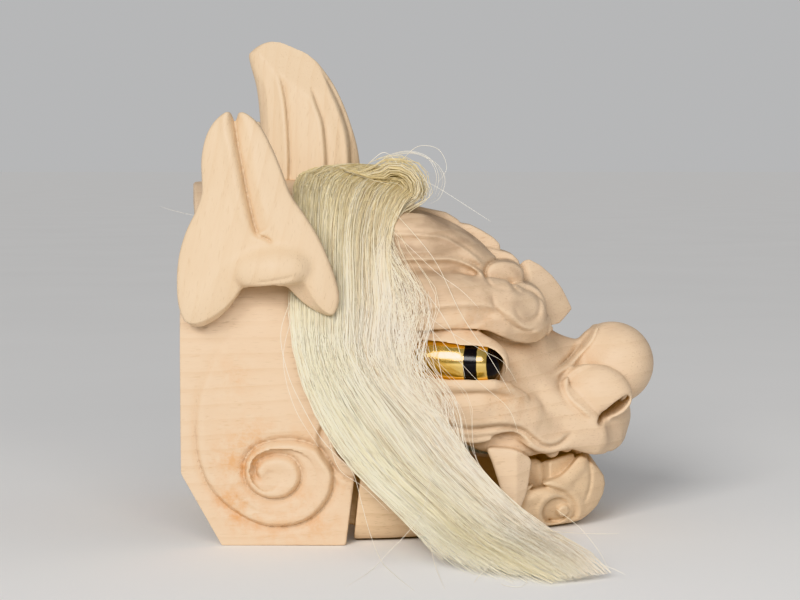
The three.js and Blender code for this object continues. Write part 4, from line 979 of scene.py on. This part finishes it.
def combed(hank, rng, count, locks, m=18):
    """Most of the hair: locks that lie side by side in the hank and spread at their tips."""
    lock_u = (np.arange(locks) + rng.uniform(0, 1, locks)) / locks
    lock_d = rng.uniform(0.0, 1.0, locks) ** 1.3 * 0.32
    lock_tone = rng.normal(0, 1, locks)
    lock_end = rng.normal(0, 0.022, locks)
    which = rng.integers(0, locks, count)
    u0 = lock_u[which][:, None]
    messy = step(0.30, 0.75, u0)
    end = 0.88 + 0.14 * np.clip(u0 * 1.6, 0, 1) ** 0.8 + lock_end[which][:, None] - np.abs(rng.normal(0, 0.070, (count, 1)))
    end = np.clip(end, 0.70, 1.02)
    t = np.linspace(0, 1, m)[None, :]
    t = 0.5 * t + 0.5 * t * t
    s = end * t
    lock_wave, lock_dip = waver(rng, locks, 1.0), waver(rng, locks, 1.0)
    S = np.linspace(0, 1, 60)[None, :] + np.zeros((locks, 1))
    table_u, table_d = lock_wave(S), lock_dip(S)
    place_ = np.clip(s * 59, 0, 58.999)
    i0 = place_.astype(int)
    fr = place_ - i0
    pick = lambda T: T[which[:, None], i0] * (1 - fr) + T[which[:, None], i0 + 1] * fr
    spread = (0.75 + 0.25 * np.cos(s * 9.0)) * (1 + 1.6 * step(0.80, 1.0, s))
    offset = rng.normal(0, 1, (count, 1)) * np.where(rng.random((count, 1)) < 0.5, 0.058, 0.013) * spread
    drift = rng.normal(0, 1, (count, 1)) * np.where(rng.random((count, 1)) < 0.20, 0.15, 0.025) * (0.15 + messy) * (s - 0.35)
    u = u0 + 0.016 * (0.45 + messy) * pick(table_u) * step(0.0, 0.25, s) + offset + drift + waver(rng, count, 0.0035)(s) * (0.3 + 1.6 * messy)
    wild = np.where(rng.random((count, 1)) < 0.035, rng.uniform(0.15, 0.6, (count, 1)), 0.0)
    d = lock_d[which][:, None] + 0.10 * pick(table_d) + rng.normal(0, 0.07, (count, 1)) - wild * np.sin(math.pi * np.clip(t * 1.1, 0, 1)) ** 2
    d = np.clip(d, -0.55, 0.9)
    # a parting low in the rear half, where the hank opens a little
    part = 0.20 + 0.16 * s
    gap = 0.013 * np.exp(-(((s - 0.62) / 0.15) ** 2))
    u = u + np.sign(u - part) * gap * np.exp(-((u - part) / 0.04) ** 2)
    fan = step(0.74, 1.0, s)
    u = u - fan * np.abs(rng.normal(0, 0.10, (count, 1))) * (1.1 - u0) + fan * rng.normal(0, 0.10, (count, 1))
    u = np.clip(u, -0.03 - 0.26 * fan, 1.03 + 0.12 * fan)
    d = d - fan * rng.uniform(0, 1.1, (count, 1)) * rng.random((count, 1))
    P = hank.point(s, u, d)
    # strands deep in the hank get a lower tone, which the material paints darker: painted shade between the strands
    tone = 0.55 * lock_tone[which][:, None] + rng.normal(0, 0.65, (count, 1)) * (0.9 + 0.7 * messy) - 0.9 * np.clip(d - 0.25, 0, 1) + 0.25 * (1 - messy)
    return strands(P, taper(m, count, rng, 0.21), tone, s, u, rng)


def wisps(hank, rng, count, m=20):
    """Thin hair that swings out in front of the hank over the eye and comes back to it."""
    t = np.linspace(0, 1, m)[None, :]
    begin, end = rng.uniform(0.18, 0.38, (count, 1)), rng.uniform(0.68, 0.98, (count, 1))
    s = begin + (end - begin) * t
    reach = 0.62 * rng.random((count, 1)) ** 1.55
    peak = rng.uniform(0.37, 0.53, (count, 1))
    swing = reach * np.exp(-(((s - peak) / rng.uniform(0.09, 0.15, (count, 1))) ** 2)) + rng.uniform(-0.16, 0.03, (count, 1))
    swing += rng.normal(0, 0.10, (count, 1)) * (s - 0.5)
    u = 0.92 + swing + waver(rng, count, 0.006)(s)
    d = rng.uniform(-0.1, 0.35, (count, 1)) + 0 * s
    P = hank.point(s, u, d)
    for _ in range(2):
        P[:, 1:-1] = 0.25 * P[:, :-2] + 0.5 * P[:, 1:-1] + 0.25 * P[:, 2:]
    tone = rng.normal(0.5, 0.8, (count, 1)) + 0 * s
    return strands(P, taper(m, count, rng, 0.14), tone, s, u, rng)


def rolled(hank, rng, count, m=22):
    """Hair that loops forward over the roll at the front of the crown, round under it, and back into the hank."""
    size = 0.12 + 0.88 * rng.random((count, 1)) ** 0.62
    size = np.where(rng.random((count, 1)) < 0.04, rng.uniform(1.02, 1.22, (count, 1)), size)
    y0 = -rng.uniform(2, 50, (count, 1))
    y1 = -47 - 5 * size + rng.normal(0, 2.0, (count, 1)) + 9 * (1 - size)
    C = []
    C.append(np.concatenate([-46 + rng.normal(0, 5, (count, 1)), y0 * 0.9, 219.5 + rng.normal(0, 1.0, (count, 1))], 1))
    for g in (140, 105, 70, 35, 0, -35, -65):
        a, f = math.radians(g + 0.0), (140 - g) / 205.0
        y = y0 + (y1 - y0) * f**1.4
        up = ROLL_R[1] if g > 0 else ROLL_R[2]
        C.append(np.concatenate([ROLL_AT[0] + ROLL_R[0] * size * math.cos(a), y, ROLL_AT[1] + up * size * math.sin(a)], 1))
    u = rng.uniform(0.72, 1.0, (count, 1))
    d = rng.uniform(-0.15, 0.15, (count, 1))
    end = rng.uniform(0.45, 0.98, (count, 1))
    for f in (0.0, 0.12, 0.25, 0.40, 0.55, 0.7, 0.85, 1.0):
        s = 0.27 + (end - 0.27) * f
        C.append(hank.point(s, u + (0.95 - u) * (1 - f) ** 3, d)[:, 0])
    C = np.stack(C, 1)
    C[:, 1:] += rng.normal(0, 0.35, C[:, 1:].shape) * np.where(size > 1, 3.2, 1.0)[:, :, None]
    P = smooth_paths(C, m)
    P[..., 2] = np.maximum(P[..., 2], LOWEST)
    along = np.concatenate([np.linspace(0, 0.25, 10), np.linspace(0.27, 0.8, m - 10)])[None, :] + np.zeros((count, 1))
    tone = rng.normal(0.1, 0.8, (count, 1)) + 0 * along
    return strands(P, taper(m, count, rng, 0.215), tone, along, 0.9 + 0 * along, rng)


def roll_core(n=40, m=30):
    """The closed body of the roll, a long soft oval across the crown."""
    V = []
    for i in range(1, n):
        t = -math.cos(math.pi * i / n)
        r = (1 - abs(t) ** 2.0) ** 0.5
        for j in range(m):
            g = 2 * math.pi * j / m
            up = 13.4 if math.sin(g) > 0 else 9.6
            V.append((ROLL_AT[0] + 13.6 * r * math.cos(g), 41.0 * t, ROLL_AT[1] + up * r * math.sin(g)))
    V += [(ROLL_AT[0], -41.0, ROLL_AT[1]), (ROLL_AT[0], 41.0, ROLL_AT[1])]
    Q = [(i * m + j, (i + 1) * m + j, (i + 1) * m + (j + 1) % m, i * m + (j + 1) % m) for i in range(n - 2) for j in range(m)]
    T = [(len(V) - 2, j, (j + 1) % m) for j in range(m)] + [(len(V) - 1, (n - 2) * m + (j + 1) % m, (n - 2) * m + j) for j in range(m)]
    V = np.array(V)
    zero = np.zeros(len(V))
    return V, np.array(Q), np.array(T), {"tone": zero - 0.6, "along": zero + 0.04, "across": V[:, 0] / 40.0}


# single hairs that have left the hank: through these points, half as thick as the rest
STRAYS = [
    [(-76, -88, 186), (-96, -96, 189), (-118, -95, 191), (-140, -85, 194), (-158, -68, 198)],
    [(-62, -113, 84), (-52, -120, 63), (-42, -123, 47), (-37, -128, 30), (-32, -135, 14), (-25, -150, 1), (-15, -190, 0.6), (-8, -215, 0.6)],
    [(6, -128, 56), (0, -133, 40), (-3, -137, 28), (-12, -141, 16), (-22, -147, 7), (-30, -160, 0.7), (-36, -182, 0.6), (-44, -205, 0.6)],
    [(2, -132, 44), (-1, -137, 27), (1, -141, 14), (3, -150, 4), (5, -170, 0.6), (8, -212, 0.6)],
    [(40, -168, 12), (34, -176, 7), (27, -186, 2), (24, -196, 0.6)],
    [(30, -160, 8), (42, -172, 4), (52, -190, 0.8), (48, -206, 0.6), (40, -203, 0.6), (38, -196, 0.6)],
    [(72, -141, 30), (84, -153, 22), (93, -166, 12), (97, -182, 5)],
    [(64, -150, 20), (80, -158, 20), (96, -166, 21), (104, -170, 22)],
    [(88, -176, 8), (98, -184, 6), (105, -192, 4)],
    [(-20, -75, 196), (4, -84, 168), (20, -96, 136), (36, -106, 112), (48, -112, 92)],
    [(-20, -96, 152), (6, -104, 124), (28, -110, 100), (46, -112, 84), (52, -116, 70)],
    [(-16, -98, 150), (8, -102, 130), (30, -104, 117), (44, -103, 109), (52, -104, 97)],
    [(-22, -86, 168), (-2, -92, 150), (10, -98, 134), (18, -104, 118), (22, -107, 100)],
    [(-30, -30, 226), (-12, -34, 231), (2, -36, 227), (8, -36, 216), (6, -38, 205)],
    [(-26, -28, 227), (-8, -30, 230), (6, -30, 224), (12, -31, 214), (9, -34, 203), (3, -40, 199)],
    [(-14, -24, 226), (-4, -26, 234), (8, -28, 232), (13, -30, 221), (8, -32, 212)],
    [(-2, -36, 214), (12, -38, 206), (26, -40, 197), (40, -42, 188)],
    [(-34, -34, 224), (-26, -36, 230), (-20, -34, 227), (-16, -36, 221)],
    [(-22, -80, 186), (-6, -88, 171), (6, -94, 160), (20, -98, 150), (30, -100, 140)],
    [(-76, -104, 140), (-82, -109, 118), (-81, -111, 100), (-74, -114, 80), (-62, -118, 62)],
    [(-78, -103, 146), (-84, -107, 126), (-80, -111, 104), (-72, -114, 86), (-60, -118, 66), (-44, -122, 50)],
    [(-56, -118, 66), (-50, -124, 50), (-36, -127, 40), (-22, -131, 27)],
]


def loose(paths, rng, m=26):
    P = np.concatenate([smooth_paths(np.array(p, float)[None], m) for p in paths])
    P[..., 2] = np.maximum(P[..., 2], LOWEST)
    n = len(P)
    t = np.linspace(0, 1, m)[None, :] + np.zeros((n, 1))
    return strands(P, taper(m, n, rng, 0.15, 0.45), rng.normal(0.6, 0.5, (n, 1)) + 0 * t, 0.3 + 0.5 * t, 0.8 + 0 * t, rng, 0.8)


hank = Hank(HANK)
COUNT = ((1560, 190, 290, 300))
cores, sides = [], []
for flip, seed in ((1, 11), (-1, 12)):
    rng = np.random.default_rng(seed)
    cores.append(sheet(hank, 0.77, 0.02, 0.93, 0.30, 0.95, rng))
    share = 1.0 if flip > 0 else 0.75
    main = combed(hank, rng, int(share * COUNT[0]), COUNT[1])
    if flip > 0:
        sides.append(hair_piece("mane_right_2", [combed(hank, rng, int(0.72 * COUNT[0]), COUNT[1])], [1]))
    extra = [wisps(hank, rng, int(share**2 * COUNT[3])), rolled(hank, rng, int(share * COUNT[2])), loose(STRAYS if flip > 0 else STRAYS[1:15], rng)]
    name = "right" if flip > 0 else "left"
    sides.append(hair_piece("mane_" + name, [main], [flip]))
    sides.append(hair_piece("mane_fringe_" + name, extra, [flip] * 3))
core = hair_piece("mane_core", cores + [roll_core()], [1, -1, 1])
for o in [core] + sides:
    place(o, "head", "mane")

# ---------------------------------------------------------------- finishes
class Sheet:
    """A material being built from nodes."""

    def __init__(self, name):
        self.mat = bpy.data.materials.new(name)
        self.mat.use_nodes = True
        self.tree = self.mat.node_tree
        self.shader = self.tree.nodes["Principled BSDF"]

    def node(self, kind, inputs=None, **settings):
        n = self.tree.nodes.new(kind)
        for k, v in settings.items():
            setattr(n, k, v)
        for k, v in (inputs or {}).items():
            self.put(n.inputs[k], v)
        return n

    def put(self, socket, v):
        if isinstance(v, bpy.types.NodeSocket):
            self.tree.links.new(v, socket)
        else:
            socket.default_value = v

    def maths(self, how, a, b=0.0, c=0.0, clamp=False):
        return self.node("ShaderNodeMath", {0: a, 1: b, 2: c}, operation=how, use_clamp=clamp).outputs[0]

    def between(self, v, low, high, to_low=0.0, to_high=1.0):
        n = self.node("ShaderNodeMapRange", {0: v, 1: low, 2: high, 3: to_low, 4: to_high}, clamp=True)
        return n.outputs[0]

    def mix(self, factor, a, b, how="MIX"):
        n = self.node("ShaderNodeMix", data_type="RGBA", blend_type=how)
        self.put(n.inputs[0], factor), self.put(n.inputs[6], a), self.put(n.inputs[7], b)
        return n.outputs[2]

    def noise(self, where, scale, detail=2.0, rough=0.5, distort=0.0):
        return self.node("ShaderNodeTexNoise", {"Vector": where, "Scale": scale, "Detail": detail, "Roughness": rough, "Distortion": distort}).outputs[0]

    def mapped(self, where, at=(0, 0, 0), turn=(0, 0, 0), scale=(1, 1, 1)):
        return self.node("ShaderNodeMapping", {"Vector": where, "Location": at, "Rotation": turn, "Scale": scale}).outputs[0]

    def layer(self, name):
        return self.node("ShaderNodeAttribute", attribute_name=name).outputs["Fac"]

    def bump(self, height, strength, distance, under=None):
        n = self.node("ShaderNodeBump", {"Height": height, "Strength": strength, "Distance": distance})
        if under is not None:
            self.put(n.inputs["Normal"], under)
        return n.outputs[0]


def wood(name, at, turn, pale, brown, ring=9.0, ring_strength=0.30, seed=0.0):
    """Bare sanded softwood. The grain runs along x once the block is turned; rings are in mm."""
    m = Sheet(name)
    where = m.node("ShaderNodeTexCoord").outputs["Object"]
    p = m.mapped(where, at, [math.radians(t) for t in turn])
    wide = m.noise(m.mapped(p, (seed, 0, 0), scale=(0.45, 1, 1)), 14.0, 2.0)
    sway = m.node("ShaderNodeVectorMath", {0: m.node("ShaderNodeTexNoise", {"Vector": m.mapped(p, (seed, 2, 1), scale=(0.35, 1, 1)), "Scale": 11.0, "Detail": 1.5}).outputs["Color"], 1: (-0.5, -0.5, -0.5)}, operation="ADD").outputs[0]
    bent = m.node("ShaderNodeVectorMath", {0: sway, 1: (0.026, 0.026, 0.026), 2: p}, operation="MULTIPLY_ADD").outputs[0]
    rings = m.node("ShaderNodeTexWave", {"Vector": bent, "Scale": 314.0 / ring, "Distortion": 1.2, "Detail": 2.0, "Detail Scale": 0.6}, wave_type="RINGS", rings_direction="X", wave_profile="SAW").outputs[1]
    late = m.between(rings, 0.62, 0.97)
    late = m.maths("MULTIPLY", late, m.between(wide, 0.35, 0.72, 0.15, 1.0))
    fibre = m.noise(m.mapped(p, (seed, 0, 5), scale=(28, 760, 760)), 1.0, 2.0, 0.6)
    fine = m.noise(m.mapped(p, (seed, 3, 5), scale=(110, 2300, 2300)), 1.0, 1.0)
    pores = m.between(m.noise(m.mapped(p, (seed, 7, 5), scale=(170, 1500, 1500)), 1.0, 0.0), 0.66, 0.78)
    blotch = m.noise(m.mapped(p, (seed, 9, 5), scale=(0.7, 1, 1)), 34.0, 3.0, 0.6)
    groove_shade_and_wear, stain_and_reflection, streak_and_shade = m.layer("groove_shade_and_wear"), m.layer("stain_and_reflection"), m.layer("streak_and_shade")
    colour = m.mix(m.between(blotch, 0.30, 0.72), pale, tuple(0.86 * a + 0.14 * b for a, b in zip(pale, brown)))
    colour = m.mix(m.maths("MULTIPLY", late, ring_strength), colour, brown)
    colour = m.mix(m.between(fibre, 0.35, 0.75, 0.0, 0.16), colour, tuple(0.4 * a + 0.6 * b for a, b in zip(pale, brown)))
    colour = m.mix(m.maths("MULTIPLY", pores, 0.26), colour, tuple(0.7 * b for b in brown))
    # grain streaks and painted shade (under the brow, on the bridge, over the forehead) darken the wood towards brown
    grain_and_shade_amount = m.maths("MULTIPLY", streak_and_shade, m.between(m.noise(m.mapped(p, (seed, 4, 2), (0, 0.5, 0), (0.6, 1, 1)), 70.0, 3.0, 0.6), 0.34, 0.60, 0.45, 1.0), clamp=True)
    colour = m.mix(m.maths("MULTIPLY", grain_and_shade_amount, 0.80), colour, (0.37, 0.255, 0.170, 1))
    # grooves hold dust and are darkened with painted shade, edges are rubbed pale
    colour = m.mix(m.between(groove_shade_and_wear, -0.10, -0.95, 0.0, 0.34), colour, (0.35, 0.25, 0.165, 1))
    colour = m.mix(m.between(groove_shade_and_wear, 0.2, 0.9, 0.0, 0.22), colour, (0.90, 0.74, 0.54, 1))
    cloud = m.noise(where, 120.0, 4.0, 0.7)
    # real stains, and round the eye an orange painted reflection of the gilt, tint the wood orange-brown
    tan = m.maths("MULTIPLY", stain_and_reflection, m.between(cloud, 0.38, 0.66), clamp=True)
    colour = m.mix(m.maths("MULTIPLY", tan, 0.62), colour, (0.60, 0.27, 0.07, 1))
    m.put(m.shader.inputs["Base Color"], colour)
    rough = m.maths("ADD", m.between(fibre, 0.3, 0.8, 0.50, 0.62), m.maths("MULTIPLY", late, -0.06))
    m.put(m.shader.inputs["Roughness"], m.maths("ADD", rough, m.between(groove_shade_and_wear, 0.0, -0.6, 0.0, 0.12)))
    m.shader.inputs["Specular IOR Level"].default_value = 0.35
    height = m.maths("ADD", m.maths("MULTIPLY", fibre, 0.5), m.maths("MULTIPLY", fine, 0.3))
    height = m.maths("SUBTRACT", height, m.maths("MULTIPLY", pores, 0.5))
    height = m.maths("ADD", height, m.maths("MULTIPLY", late, 0.35))
    m.put(m.shader.inputs["Normal"], m.bump(height, 0.35, 0.00022))
    return m.mat


PALE, BROWN = (0.765, 0.585, 0.415, 1), (0.46, 0.285, 0.150, 1)
head_wood = wood("bare_wood_head", (0.0, 0.035, 0.16), (0, 2.5, -2.0), PALE, BROWN, 9.5, 0.34, 0.0)
jaw_wood = wood("bare_wood_jaw", (0.0, 0.03, 0.20), (0, -1.5, 2.0), (0.74, 0.555, 0.37, 1), BROWN, 8.5, 0.30, 3.0)
horn_wood = wood("bare_wood_horn", (-0.20, 0.02, 0.03), (0, 84, 0), (0.77, 0.60, 0.42, 1), BROWN, 8.0, 0.30, 5.0)
ear_wood = wood("bare_wood_ear", (-0.18, 0.11, 0.06), (0, 78, 0), (0.77, 0.60, 0.42, 1), BROWN, 10.0, 0.28, 7.0)
dowel_wood = wood("turned_wood", (0.1, 0.0, 0.02), (0, 0, 90), (0.66, 0.48, 0.31, 1), BROWN, 3.0, 0.45, 11.0)


def gilt():
    """Mirror gold with a black ring and a black pupil, laid on round the eye's axis."""
    m = Sheet("gilt_and_black")
    where = m.node("ShaderNodeTexCoord").outputs["Object"]
    along = m.layer("along")
    shake = m.between(m.noise(where, 420.0, 2.0), 0.2, 0.8, -0.18, 0.18)
    a = m.maths("ADD", along, shake)
    ring = m.maths("MULTIPLY", m.between(a, 19.6, 19.9), m.between(a, 27.3, 27.0))
    black = m.maths("MAXIMUM", ring, m.between(a, 32.2, 32.5))
    tint = m.mix(m.between(m.noise(where, 55.0, 3.0, 0.6), 0.3, 0.7), (1.0, 0.76, 0.33, 1), (0.95, 0.64, 0.20, 1))
    m.put(m.shader.inputs["Base Color"], m.mix(black, tint, (0.006, 0.005, 0.006, 1)))
    m.put(m.shader.inputs["Metallic"], m.maths("SUBTRACT", 1.0, black))
    rub = m.between(m.noise(m.mapped(where, scale=(1, 1, 3)), 160.0, 4.0, 0.65), 0.35, 0.8, 0.10, 0.20)
    m.put(m.shader.inputs["Roughness"], m.maths("ADD", rub, m.maths("MULTIPLY", black, 0.04)))
    m.put(m.shader.inputs["Normal"], m.bump(m.noise(where, 95.0, 2.0), 0.12, 0.0006))
    return m.mat


def hair(name, clump):
    """Horsehair: khaki and dull over the crown, cream lower down, each strand a little different."""
    m = Sheet(name)
    where = m.node("ShaderNodeTexCoord").outputs["Object"]
    tone, along, across = m.layer("tone"), m.layer("along"), m.layer("across")
    if clump:  # the core shows strands of its own, drawn along the hank
        line = m.node("ShaderNodeCombineXYZ", {0: m.maths("MULTIPLY", along, 5.0), 1: m.maths("MULTIPLY", across, 240.0), 2: 0.0}).outputs[0]
        tone = m.maths("ADD", m.maths("MULTIPLY", tone, 0.4), m.between(m.noise(line, 1.0, 2.0, 0.6), 0.25, 0.75, -1.9, 0.6))
    white, cream, straw, khaki, shade = (1.0, 0.925, 0.80, 1), (1.0, 0.955, 0.78, 1), (0.93, 0.81, 0.49, 1), (0.84, 0.69, 0.36, 1), (0.52, 0.37, 0.20, 1)
    low = m.mix(m.between(across, 0.35, 0.9), cream, white)
    # the yellow band low on the rear half of the hank
    band = m.maths("MULTIPLY", m.between(m.maths("ABSOLUTE", m.maths("SUBTRACT", across, 0.30)), 0.05, 0.26, 1.0, 0.0), m.between(along, 0.55, 0.80))
    low = m.mix(m.maths("MULTIPLY", band, 0.55), low, straw)
    base = m.mix(m.between(along, 0.12, 0.44), khaki, low)
    patch = m.noise(where, 60.0, 2.0)
    base = m.mix(m.between(patch, 0.35, 0.75, 0.0, 0.25), base, straw)
    # a low tone mixes towards the shade colour: random for each strand, and lower deep in the hank as painted shade
    base = m.mix(m.between(tone, -0.3, -2.2, 0.0, 0.72), base, shade)
    base = m.mix(m.between(tone, 0.2, 1.8, 0.0, 0.7), base, (1.0, 0.96, 0.86, 1))
    m.put(m.shader.inputs["Base Color"], base)
    m.put(m.shader.inputs["Roughness"], m.between(tone, -2.0, 2.0, 0.50, 0.34))
    m.shader.inputs["Specular IOR Level"].default_value = 0.45
    m.shader.inputs["Sheen Weight"].default_value = 0.28
    m.shader.inputs["Sheen Roughness"].default_value = 0.4
    if clump:
        m.put(m.shader.inputs["Normal"], m.bump(m.noise(line, 1.0, 2.0, 0.6), 0.5, 0.0006))
    else:
        m.put(m.shader.inputs["Normal"], m.bump(m.noise(where, 1500.0, 1.0), 0.15, 0.0001))
    return m.mat


def dress(ob, material):
    ob.data.materials.clear()
    ob.data.materials.append(material)


dress(head, head_wood)
dress(jaw, jaw_wood)
dress(horn, horn_wood)
dress(dowel, dowel_wood)
for o in (ear_right, ear_left):
    dress(o, ear_wood)
gold = gilt()
for o in (eye_right, eye_left):
    dress(o, gold)
core_hair, strand_hair = hair("horsehair_core", True), hair("horsehair_strands", False)
dress(core, core_hair)
for o in sides:
    dress(o, strand_hair)

# ---------------------------------------------------------------- floor and light
floor_mesh = bpy.data.meshes.new("floor")
s = 80.0
floor_mesh.from_pydata([(-s, -s, 0), (s, -s, 0), (s, s, 0), (-s, s, 0)], [], [(0, 1, 2, 3)])
floor = bpy.data.objects.new("floor", floor_mesh)
bpy.context.scene.collection.objects.link(floor)
pale = Sheet("pale_floor")
grain = pale.noise(pale.node("ShaderNodeTexCoord").outputs["Object"], 3.0, 3.0)
pale.put(pale.shader.inputs["Base Color"], pale.mix(pale.between(grain, 0.3, 0.7), (0.85, 0.85, 0.85, 1), (0.87, 0.87, 0.87, 1)))
pale.shader.inputs["Roughness"].default_value = 0.9
pale.shader.inputs["Specular IOR Level"].default_value = 0.0
floor_mesh.materials.append(pale.mat)

# the sky is plain; where it is seen itself it is as bright as the lit floor
world = bpy.data.worlds.new("studio")
bpy.context.scene.world = world
world.use_nodes = True
sky = world.node_tree.nodes["Background"]
sky.inputs["Color"].default_value = (0.99, 0.99, 1.0, 1)
sky.inputs["Strength"].default_value = 0.33
seen = world.node_tree.nodes.new("ShaderNodeBackground")
seen.inputs["Color"].default_value = (0.985, 0.99, 1.0, 1)
seen.inputs["Strength"].default_value = 0.515
path = world.node_tree.nodes.new("ShaderNodeLightPath")
blend = world.node_tree.nodes.new("ShaderNodeMixShader")
world.node_tree.links.new(path.outputs["Is Camera Ray"], blend.inputs[0])
world.node_tree.links.new(sky.outputs[0], blend.inputs[1])
world.node_tree.links.new(seen.outputs[0], blend.inputs[2])
world.node_tree.links.new(blend.outputs[0], world.node_tree.nodes["World Output"].inputs[0])


def aimed(name, kind, at, aim, power, colour=(1, 1, 1), **more):
    data = bpy.data.lights.new(name, kind)
    data.energy, data.color = power, colour
    for k, v in more.items():
        setattr(data, k, v)
    ob = bpy.data.objects.new(name, data)
    ob.location = at
    ob.rotation_euler = (Vector(aim) - Vector(at)).to_track_quat("-Z", "Y").to_euler()
    bpy.context.scene.collection.objects.link(ob)
    return ob


aimed("key", "SUN", (-0.70, -1.6, 1.05), (0, 0, 0.1), 1.75, (1.0, 0.98, 0.95), angle=math.radians(24))
aimed("soft_box", "AREA", (0.10, -1.55, 0.62), (0, 0, 0.12), 12.0, (1.0, 0.98, 0.95), shape="RECTANGLE", size=1.1, size_y=0.42)
